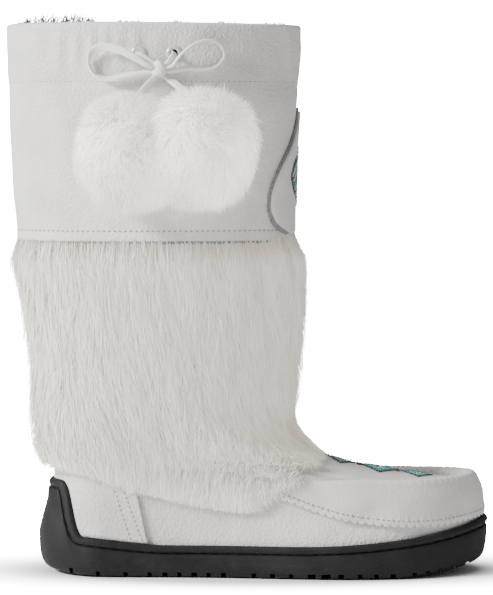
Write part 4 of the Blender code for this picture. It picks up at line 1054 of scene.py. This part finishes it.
def soleRings():
    u = np.linspace(0.0, 1.0, sole["columns"], endpoint=False)
    base = skin.at(np.zeros(len(u)), u)
    closed = np.concatenate([base, base[:1]])
    along = travel(closed)
    share = skin.along(skin.share, u)
    heights = soleTop(share)
    slope = np.gradient(np.concatenate([heights, heights[:1]]), along)[:-1]
    steep = np.hypot(slope, 1.0)
    tops = []
    for drop, out in sideTop:
        down = drop * boot["bead"]
        place = (along[:-1] + down * slope / steep) % along[-1]
        column = np.interp(place, along, np.append(u, 1.0))
        tops.append(sidePoint(column, heights - down / steep, out * boot["soleWall"]))
    lows = []
    for level, out in sideLow:
        foot = sidePoint(u, np.zeros(len(u)), out * boot["soleWall"])
        foot[:, 2] = treadRise(foot[:, 0])
        point = mix(foot, tops[0], level)
        side = sidePoint(u, point[:, 2], out * boot["soleWall"])
        point[:, :2] = mix(side[:, :2], tops[0][:, :2], level**3)
        lows.append(point)
    flip = (-np.arange(len(u))) % len(u)
    tread = (lows[0] + lows[0][flip]) / 2
    tread[:, 2] = treadRise(tread[:, 0])
    inner = []
    for t in np.linspace(1.0, 0.0, 8):
        height = mix(np.full(len(u), boot["soleFloor"]) + treadRise(base[:, 0]), heights - 0.0004, t)
        inner.append(sidePoint(u, height, np.full(len(u), 0.0002)))
    floorRing = (inner[-1] + inner[-1][flip]) / 2
    return [tread, *lows, *tops, *inner, floorRing]


rings = soleRings()
solePiece = loft("cupSole", rings, blackRubber, smoothAngle=sole["sharpFrom"])
lugBm = bmesh.new()
for share, width in lugPlaces:
    x = heelX + share * boot["soleLength"]
    lift = float(treadRise(x))
    slope = math.atan2(float(treadRise(x + mm)) - float(treadRise(x - mm)), 2 * mm)
    for side in (-1, 1):
        lean = dice.uniform(-0.10, 0.10)
        size = Matrix.Diagonal((width * sole["grooveWidth"], boot["ballWidth"], 2 * sole["lugDepth"], 1))
        turn = Matrix.Rotation(side * math.radians(8), 4, "Z") @ Matrix.Rotation(lean - slope, 4, "Y")
        place = Matrix.Translation((x, side * (sole["spine"] + boot["ballWidth"]) / 2, lift))
        bmesh.ops.create_cube(lugBm, size=1, matrix=place @ turn @ size)
lugMesh = finishMesh("lugCutters", lugBm, blackRubber)
cut = solePiece.modifiers.new("lugs", "BOOLEAN")
cut.operation = "DIFFERENCE"
cut.object = lugMesh
cut.solver = "EXACT"
evaluated = solePiece.evaluated_get(bpy.context.evaluated_depsgraph_get())
cutMesh = bpy.data.meshes.new_from_object(evaluated)
solePiece.modifiers.clear()
solePiece.data = cutMesh
cutMesh.shade_smooth()
cutMesh.set_sharp_from_angle(angle=math.radians(sole["sharpFrom"]))
bpy.data.objects.remove(lugMesh)
settle(solePiece, "outsole")
print("sole ready", len(cutMesh.polygons))

# stitches


stitches = {  # metres along the seam, and the thread's half thickness
    "vamp": {"pitch": 0.0031, "length": 0.0020, "radius": 0.00036, "fromEdge": 0.0039},
    "counter": {"pitch": 0.0030, "length": 0.0019, "radius": 0.0003},
    "cuff": {"pitch": 0.0033, "length": 0.0021, "radius": 0.00033, "fromFoot": 0.0038},
    "sole": {"pitch": 0.0076, "length": 0.0066, "radius": 0.0005},
}


def stitchRow(name, points, outward, material, sizes):
    points, outward = np.asarray(points), np.asarray(outward)
    travelled = travel(points)

    def read(values, s):
        return np.array([np.interp(s, travelled, values[:, k]) for k in range(3)])

    bm = bmesh.new()
    for s in np.arange(sizes["pitch"] / 2, travelled[-1], sizes["pitch"]):
        along = Vector(read(points, s + 0.0005) - read(points, s - 0.0005)).normalized()
        across = Vector(read(outward, s)).cross(along).normalized()
        lift = along.cross(across)
        turn = Matrix((along, across, lift)).transposed().to_4x4()
        size = Matrix.Diagonal((sizes["length"] / 2, sizes["radius"], sizes["radius"] * 0.8, 1))
        bmesh.ops.create_icosphere(bm, subdivisions=1, radius=1.0,
                                   matrix=Matrix.Translation(read(points, s)) @ turn @ size)
    return settle(finishMesh(name, bm, material), None)


lineH = skin.climb(vampLow, vampU, stitches["vamp"]["fromEdge"])
lineOut = vampOut(lineH, vampU, edgeDistance) + vamp["thickness"] + 0.0005
stitchRow("vampStitches", skin.at(lineH, vampU, lineOut), skin.normalAt(lineH, vampU), threadGrey,
          stitches["vamp"])
for label, offset in counter["seams"]:
    t = np.linspace(0.02, 0.9, 60)
    edges = [uOfShare(mix(counter["foot"], counter["top"], v)) for v in t]
    for side in ("Outer", "Inner"):
        u = np.array(edges) + offset / counter["girth"]
        u = u if side == "Outer" else 1.0 - u
        h = mix(skin.along(soleRow, u) + 0.05, skin.along(hemRow, u), t)
        points = skin.at(h, u, np.full(len(u), counter["out"] + counter["thickness"] + 0.0002))
        stitchRow(f"counterStitches{label}{side}", points, skin.normalAt(h, u), threadGrey,
                  stitches["counter"])
u = np.linspace(0.0, 1.0, 700)
cuffSeams = (  # name, drop from the collar, how far out from the cuff's face
    ("Top", cuff["hem"], 0.0), ("Foot", boot["cuff"] - stitches["cuff"]["fromFoot"], 0.0003),
)
for label, drop, out in cuffSeams:
    h = np.full(len(u), float(topRow))
    for _ in range(8):
        short = boot["collar"] - drop - skin.at(h, u)[:, 2]
        h = np.clip(h + short / (boot["cuff"] / 2), cuffRow - 1, topRow)
    flat = skin.at(h, u)
    offset = creases(flat, boot["gap"] + cuff["thickness"] + out - cuffPull(u, flat[:, 2]))
    stitchRow("cuffStitches" + label, skin.at(h, u, offset), skin.normalAt(h, u), threadGrey,
              stitches["cuff"])
topRings = rings[1 + len(sideLow):]
grooveRing = topRings[3]  # the bottom of the groove under the bead
grooveOut = topRings[7] - topRings[11]
closedRing = np.concatenate([grooveRing, grooveRing[:1]])
closedOut = np.concatenate([grooveOut, grooveOut[:1]])
stitchRow("soleStitches", closedRing - unit(closedOut) * 0.0001, closedOut, threadBlackAndShade,
          stitches["sole"])
print("stitches ready")

# fur

fur = {
    "strands": 57500, "parts": 2, "steps": 3, "depth": 0.0092, "length": 0.026, "half": 0.00022,
    "girth": 0.43, "clump": 0.0052, "sway": 0.0066, "fineSway": 0.0022, "stray": 0.0013,
    "lump": 0.0025, "fineLump": 0.0006, "overVamp": 0.0030, "vampLength": 0.0058,
    "heelHang": 0.0062, "ankleHang": 0.0012, "frontPuff": -0.0010,
}


def furDepth(fromHem, fromTop, u, z):
    atBack = smooth(1.0 - np.abs((u % 1.0) - 0.5) / 0.13)
    atFront = smooth(1.0 - np.abs(((u + 0.5) % 1.0) - 0.5) / 0.10)
    hang = fur["heelHang"] * bell(z, 0.080, 0.020) + fur["ankleHang"] * bell(z, 0.110, 0.020)
    puff = fur["frontPuff"] * bell(z, 0.175, 0.035)
    overInstep = smooth(1.0 - fromToe(u) / 0.16) * smooth((0.112 - z) / 0.02)
    low = mix(0.38 + 0.46 * atBack, 1.0, smooth(fromHem / 0.013))
    high = mix(0.02, 1.0, smooth((fromTop - 0.0042) / 0.010))
    return low * high * (1 - 0.40 * overInstep) * (fur["depth"] + atBack * hang + atFront * puff)


def nearVamp(u, z):  # 1 over the vamp's top edge, 0 well away from it
    return smooth((0.26 - fromToe(u)) / 0.08) * smooth((0.116 - z) / 0.02)


def furRoots(count):
    cells = skin.points[:-1]
    area = np.linalg.norm(np.cross(np.roll(cells, -1, axis=1) - cells, skin.points[1:] - cells), axis=2)
    rowLength = skin.lengths[:-1]
    inside = (rowLength > hemLength[None, :] + 0.0015) & (skin.h[:-1, None] < cuffRow + 0.02)
    topLength = skin.lengthAt(np.full(skin.columns, float(cuffRow)), np.arange(skin.columns) / skin.columns)
    fromTop = topLength - rowLength
    weight = (area * inside * (1 + 1.3 * np.exp(-np.maximum(fromTop, 0.0) / 0.008))).reshape(-1)
    pick = dice.choice(len(weight), size=count, p=weight / weight.sum())
    row, col = np.divmod(pick, skin.columns)
    h = (row + dice.random(count)) / (len(skin.h) - 1) * topRow
    return np.minimum(h, cuffRow + 0.04), (col + dice.random(count)) / skin.columns


def wave(u, s, frequencies, phase):  # a soft field over the surface, about -1 to 1
    total = np.zeros_like(u)
    for k, (a, b) in enumerate(frequencies):
        bend = 1.7 * np.sin(2 * math.pi * (k + 2) * u + 60 * s)
        total += np.sin(2 * math.pi * (a * u) + b * s + phase * (k + 1) + bend)
    return total / len(frequencies)


def hang(h, u, distance):  # a step down the surface the way a hair hangs
    column = unit(skin.at(np.maximum(h - 0.05, 0.0), u) - skin.at(np.minimum(h + 0.05, float(topRow)), u))
    around = skin.at(h, u + 0.002) - skin.at(h, u - 0.002)
    speed = np.linalg.norm(around, axis=1) / 0.004
    around, normal = unit(around), skin.normalAt(h, u)
    wish = np.array([0.12, 0.0, -1.0]) * np.ones((len(h), 1))
    wish = unit(wish - normal * np.sum(wish * normal, axis=1, keepdims=True) + 0.15 * column)
    across = np.sum(column * around, axis=1)
    alongColumn, alongRing = np.sum(wish * column, axis=1), np.sum(wish * around, axis=1)
    spread = np.maximum(1 - across ** 2, 0.25)
    down = np.clip((alongColumn - across * alongRing) / spread, 0.15, 1.6)
    drift = np.clip((alongRing - across * alongColumn) / spread, -1.3, 1.3)
    return skin.climb(h, u, -distance * down), u + drift * distance / speed, speed


def toHem(h, u):  # the way down to the fur's hem
    hemHeight, stride = edgeCurve(furHem), 0.004
    place = skin.at(h, u)
    before = place[:, 2] - hemHeight(place[:, 0])
    found = np.where(before <= 0, 0.0, 0.06)
    for k in range(8):
        h, u, _ = hang(h, u, np.full(len(h), stride))
        place = skin.at(h, u)
        gap = place[:, 2] - hemHeight(place[:, 0])
        crossed = (gap <= 0) & (before > 0) & (found > 0.059)
        found = np.where(crossed, stride * (k + before / np.maximum(before - gap, 1e-6)), found)
        before = gap
    return np.maximum(found, 0.001)


def makeFur(part):
    count = fur["strands"]
    h, u = furRoots(count)
    start = skin.lengthAt(h, u)
    fromHem = toHem(h, u)
    length = fur["length"] * dice.uniform(0.6, 1.1, count)
    longest = fromHem + 0.0012 - 0.0065 * dice.random(count) ** 2
    length = np.maximum(np.minimum(length, longest), 0.0025)
    length = np.maximum(length, fur["vampLength"] * nearVamp(u, skin.at(h, u)[:, 2]))
    layer = dice.random(count) ** 0.7
    topLength = skin.lengthAt(np.full(count, float(cuffRow)), u)
    sway = fur["sway"] * wave(u, start * 40, ((3, 0.8), (7, 1.3), (13, -1.1)), 1.0)
    sway = sway + fur["fineSway"] * wave(u, start * 40, ((23, 2.0), (37, -2.4)), 0.3)
    where, width = u * fur["girth"], fur["clump"]
    clump = np.round(where / width + 0.4 * np.sin(start * 260)) * width
    clump = clump + 0.0016 * np.sin(where * 900 + start * 700) - where
    clump = np.clip(clump, -width, width)
    stray = dice.normal(0.0, fur["stray"], count)
    lump = fur["lump"] * wave(u, start * 40, ((5, 1.9), (9, -1.4), (4, 0.7)), 2.0)
    steps = fur["steps"]
    paths, normals = np.empty((count, steps, 3)), np.empty((count, steps, 3))
    row, line, speed = h, u, 1.0
    for k in range(steps):
        t = k / (steps - 1)
        for _ in range(2 if k else 0):
            row, line, speed = hang(row, line, length / (steps - 1) / 2)
        place = line + (sway * t + 0.30 * clump * t ** 1.3 + stray * t) / speed
        here = skin.lengthAt(row, place)
        z = skin.at(row, place)[:, 2]
        depth = furDepth(np.maximum(fromHem - length * t, 0.0), topLength - here, place, z)
        rise = 0.0006 + depth * layer * (0.30 + 0.70 * smooth(t * 1.5)) + dice.normal(0, 0.0002, count)
        uneven = lump + fur["fineLump"] * wave(u, here * 55, ((11, 2.0), (19, -1.2)), 2.0)
        rise = rise + uneven * (0.4 + 0.6 * t) * np.minimum(depth / 0.006, 1.0)
        lowest = 0.0004 + fur["overVamp"] * nearVamp(place, z)
        paths[:, k] = skin.at(row, place, np.maximum(rise, lowest))
        normals[:, k] = skin.normalAt(row, place)
    direction = unit(np.gradient(paths, axis=1))
    sides = unit(np.cross(direction, normals) + 0.18 * dice.normal(0, 1, (count, 1, 3)))
    halves = fur["half"] * dice.uniform(0.7, 1.25, count)[:, None] * np.array([1.0, 0.95, 0.3])[None, :]
    shade = unit(normals + 0.16 * sides * dice.normal(0, 1, (count, 1, 1)) + 0.22 * direction)
    # soft patches of lighter and darker hair, partly painted shade of tufts and hollows; hairs lying deeper
    # in the coat are darker as painted shade
    toneAndShade = 0.62 + 0.36 * wave(u, start * 40, ((17, 1.0), (31, -2.3)), 0.4) + dice.normal(0, 0.15, count)
    toneAndShade = np.clip(toneAndShade - 0.22 * (1 - layer), 0.0, 1.0)
    piece = shardMesh(f"furStrands{part}", paths, sides, halves, shade, toneAndShade, furWhite)
    settle(piece, "fur_band" if part == 0 else None)


for part in range(fur["parts"]):
    makeFur(part)
underRows = []
for t in np.linspace(0.0, 1.0, 30):
    h = mix(skin.climb(allHem, allU, 0.003), np.full(len(allU), float(cuffRow)), t)
    here = skin.lengthAt(h, allU)
    fromTop = skin.lengthAt(np.full(len(allU), float(cuffRow)), allU) - here
    depth = furDepth(here - allHemLength, fromTop, allU, skin.at(h, allU)[:, 2])
    underRows.append(skin.at(h, allU, boot["gap"] + 0.42 * depth * smooth(t * 8)))
settle(loft("underFur", underRows, underFur), None)
print("fur ready")

# pompoms

pompom = {
    "strands": 26500, "core": 0.0245, "reach": 0.0355, "half": 0.00021, "lie": 0.0125,
    "tufts": 260, "form": (1.0, 0.92, 1.06),
}
# forward, up, further out
hairPlaces = {"Front": (-0.0370, 0.2600, 0.0050), "Rear": (-0.0790, 0.2572, -0.0010)}
for side, item in pompoms.items():
    count = pompom["strands"]
    x, z, further = hairPlaces[side]
    centre = np.array([x, item["centre"][1] - further, z])
    axis = unit(dice.normal(0, 1, (count, 3)))
    tufts = unit(dice.normal(0, 1, (pompom["tufts"], 3)))
    nearest = tufts[np.argmax(axis @ tufts.T, axis=1)]
    swell = 1 + 0.045 * np.sin(axis[:, 0] * 5 + 1) * np.sin(axis[:, 2] * 4 + 2)
    swell = swell + 0.03 * np.sin(nearest[:, 1] * 60)
    reach = pompom["reach"] * (0.86 + 0.14 * dice.random(count) ** 0.6) * swell
    reach = np.where(dice.random(count) < 0.05, reach * 1.07, reach)
    # hair leaves the core, then bends over and lies down the ball, in loose swirls
    swirl = np.stack([np.sin(4.2 * axis[:, 2] + 3.0 * axis[:, 1] + x * 90), 0.6 * np.sin(5.1 * axis[:, 0]),
                      np.cos(3.7 * axis[:, 0] - 2.0 * axis[:, 2])], axis=1)
    flow = np.array([0.0, 0.0, -1.0]) + 0.50 * swirl + 0.9 * (nearest - axis)
    flow = flow + dice.normal(0, 0.34, (count, 3))
    flow = flow - axis * np.sum(flow * axis, axis=1, keepdims=True)
    lie = pompom["lie"] * dice.uniform(0.10, 1.15, count)
    paths = np.empty((count, 4, 3))
    for k, t in enumerate((0.0, 0.40, 0.74, 1.0)):
        radius = mix(pompom["core"] * 0.92, reach, t ** 0.75)
        way = unit(axis * radius[:, None] + flow * (lie * t ** 1.6)[:, None])
        paths[:, k] = centre + way * radius[:, None] * np.array(pompom["form"])
    paths[:, -1, 2] -= 0.0035 * smooth(-axis[:, 2] * 1.5) * dice.random(count)
    cuffFace = onCuff(centre[0], centre[2], 0.0)[1]
    paths[:, :, 1] = np.minimum(paths[:, :, 1], cuffFace - 0.0008 - 0.0012 * dice.random((count, 1)))
    direction = unit(np.gradient(paths, axis=1))
    outward = unit(paths - centre)
    sides = unit(np.cross(direction, outward + 0.5 * dice.normal(0, 1, (count, 1, 3))))
    normals = outward + 0.16 * sides * dice.normal(0, 1, (count, 1, 1))
    normals = unit(normals + 0.10 * (nearest - axis)[:, None, :])
    halves = pompom["half"] * dice.uniform(0.7, 1.25, count)[:, None] * np.array([1.0, 1.0, 0.75, 0.2])
    toneAndShade = 0.72 + 0.18 * np.sin(nearest[:, 0] * 50 + nearest[:, 2] * 31)
    toneAndShade = np.clip(toneAndShade + dice.normal(0, 0.13, count), 0, 1)
    hair = shardMesh("pompomFur" + side, paths, sides, halves, normals, toneAndShade, pomWhite)
    settle(hair, item["node"])
    bm = bmesh.new()
    bmesh.ops.create_icosphere(bm, subdivisions=4, radius=pompom["core"] * 1.08,
                               matrix=Matrix.Translation(centre) @ Matrix.Diagonal((*pompom["form"], 1)))
    core = settle(finishMesh("pompomCore" + side, bm, underFur), None)
    lace, start, length, route = laces[side]
    low = side.lower()
    settle(lace, ["drawstring_lead_" + low, "drawstring_loop_" + low, "drawstring_tail_" + low])
print("pompoms ready")

# lining pile at the rim

pile = {"strands": 13000, "length": 0.0040, "half": 0.00026, "deep": 0.026}
count = pile["strands"]
u = dice.random(count)
deep = dice.random(count) ** 1.6 * pile["deep"]
h = skin.climb(np.full(count, float(topRow)), u, -deep)
roots = skin.at(h, u)
shaggy = 1.5 * bell(roots[:, 0], -0.126, 0.020) * (roots[:, 1] < 0)  # longer at the outer side's rear
tall = pile["length"] * (0.60 + shaggy + 0.25 * np.sin(roots[:, 0] * 210))
paths, normals = np.empty((count, 3, 3)), np.empty((count, 3, 3))
swirl = dice.uniform(0, 2 * math.pi, count)
for k, t in enumerate((0.0, 0.5, 1.0)):
    place = skin.at(h, u, -boot["leather"] - 0.0006 - 0.0022 * t * dice.uniform(0.6, 1.0, count))
    curl = np.stack([np.cos(swirl + 3 * t), np.sin(swirl + 3 * t), np.zeros(count)], axis=1)
    curl = (tall * t * 0.35)[:, None] * curl
    place = rimDrop(place) + curl
    place[:, 2] += 0.0007 + tall * t * (0.4 + 0.75 * np.exp(-deep / 0.004))
    paths[:, k] = place
    normals[:, k] = -skin.normalAt(h, u)
normals = unit(normals + np.array([0, 0, 0.8]))
direction = unit(np.gradient(paths, axis=1))
sides = unit(np.cross(direction, unit(dice.normal(0, 1, (count, 1, 3)))))
halves = pile["half"] * dice.uniform(0.7, 1.2, count)[:, None] * np.array([1.0, 0.9, 0.3])
pilePiece = shardMesh("liningPile", paths, sides, halves, normals, dice.random(count), pileGrey)
settle(pilePiece, None)
print("lining ready")

# beads

beads = {  # metres: the grid, bead sizes, and where each panel sits
    "spacing": 0.0014, "vampRadius": 0.00070, "tabRadius": 0.00072,
    "vampFrom": 0.040, "vampMiddle": 0.029, "tabFoot": 0.0185,
}
beadColours = {
    "teal": (0.02, 0.33, 0.33), "maroon": (0.10, 0.008, 0.014), "white": (0.78, 0.78, 0.76),
    "outline": (0.012, 0.012, 0.014),
}
beadMaterials = {name: newMaterial(name + "Bead", colour, 0.18, Coat_Weight=0.6, Coat_Roughness=0.08)
                 for name, colour in beadColours.items()}
for made in beadMaterials.values():
    tree = made.node_tree
    base = tuple(tree.nodes["Principled BSDF"].inputs["Base Color"].default_value)[:3]
    stops = ((0.35, tuple(c * 0.75 for c in base)), (0.65, tuple(min(1, c * 1.2) for c in base)))
    rampTo(tree, noiseOf(tree, 420.0), "Base Color", stops)


def beadPanel(name, chart, place, spacing, radius):
    # chart gives a colour for each column and row of beads
    # place turns metres on the panel into a point and its normal
    sets = {}
    for i, j, colour in chart:
        sets.setdefault(colour, []).append((i, j))
    for colour, spots in sets.items():
        bm = bmesh.new()
        for i, j in spots:
            point, normal = place(i * spacing, j * spacing)
            turn = Vector(normal).to_track_quat("Z", "Y").to_matrix().to_4x4()
            spot = Vector(point) + Vector(normal) * radius * 0.55
            shape = Matrix.Translation(spot) @ turn @ Matrix.Diagonal((1, 1, 0.85, 1))
            bmesh.ops.create_uvsphere(bm, u_segments=7, v_segments=5, radius=radius, matrix=shape)
        settle(finishMesh(f"{name}{colour.capitalize()}", bm, beadMaterials[colour]), None)


def vampPlace(forward, across):  # forward from the instep towards the toe, across to the inner side
    x = beads["vampFrom"] + forward
    u = np.array([0.0])
    side = -across
    h = np.array([8.0])
    for _ in range(14):
        point = skin.at(h, u)[0]
        h = np.clip(h + (point[0] - x) * 30, 5.2, 9.5)
        point = skin.at(h, u)[0]
        u = np.clip(u + (point[1] - skin.at(h, np.array([0.0]))[0][1] + side) * 4.0, -0.2, 0.2)
    out = vampOut(h, u, np.zeros(1)) + vamp["thickness"]
    return skin.at(h, u, out)[0], skin.normalAt(h, u)[0]


def diamondChart():  # three nested diamonds in a line, with small steps between them
    ringColours = ("maroon", "maroon", "white", "teal", "teal", "teal", "outline")
    chart = {}
    for centre, reach, tall in ((-17, 7, 10), (0, 9, 13), (17, 7, 10)):
        for i in range(-reach, reach + 1):
            for j in range(-tall, tall + 1):
                ring = 6 * (abs(i) / reach + abs(j) / tall)
                if ring <= 6.3:
                    chart[(i + centre, j)] = ringColours[int(round(ring))]
    for link in (-9, -8, 8, 9):
        for j in (-4, -3, 3, 4):
            chart.setdefault((link, j), "maroon")
    return [(i, j, colour) for (i, j), colour in chart.items()]


beadPanel("vampBeads", diamondChart(), lambda a, b: vampPlace(a + beads["vampMiddle"], b),
          beads["spacing"], beads["vampRadius"])


def tabPlace(across, up):
    level = np.array([up / tab["height"]])
    point = tabPoint(np.array([across]), level, tabFace)[0]
    beside = tabPoint(np.array([across + 0.001]), level, tabFace)[0]
    above = tabPoint(np.array([across]), level + 0.01, tabFace)[0]
    normal = np.cross(above - point, beside - point)
    return point, unit(normal if normal[0] > 0 else -normal)


def chevronChart():  # stacked chevrons that follow the teardrop
    chart = []
    for j in range(0, 26):
        half = int(12.5 * math.sin(math.pi * (j + 1) / 27))
        for i in range(-half, half + 1):
            band = (j + abs(i)) % 9
            colour = ("outline", "teal", "teal", "white", "maroon", "maroon", "white", "teal", "teal")[band]
            chart.append((i, j, colour if abs(i) < half else "outline"))
    return chart


beadPanel("tabBeads", chevronChart(), lambda a, b: tabPlace(a, b + beads["tabFoot"]),
          beads["spacing"], beads["tabRadius"])
print("beads ready")
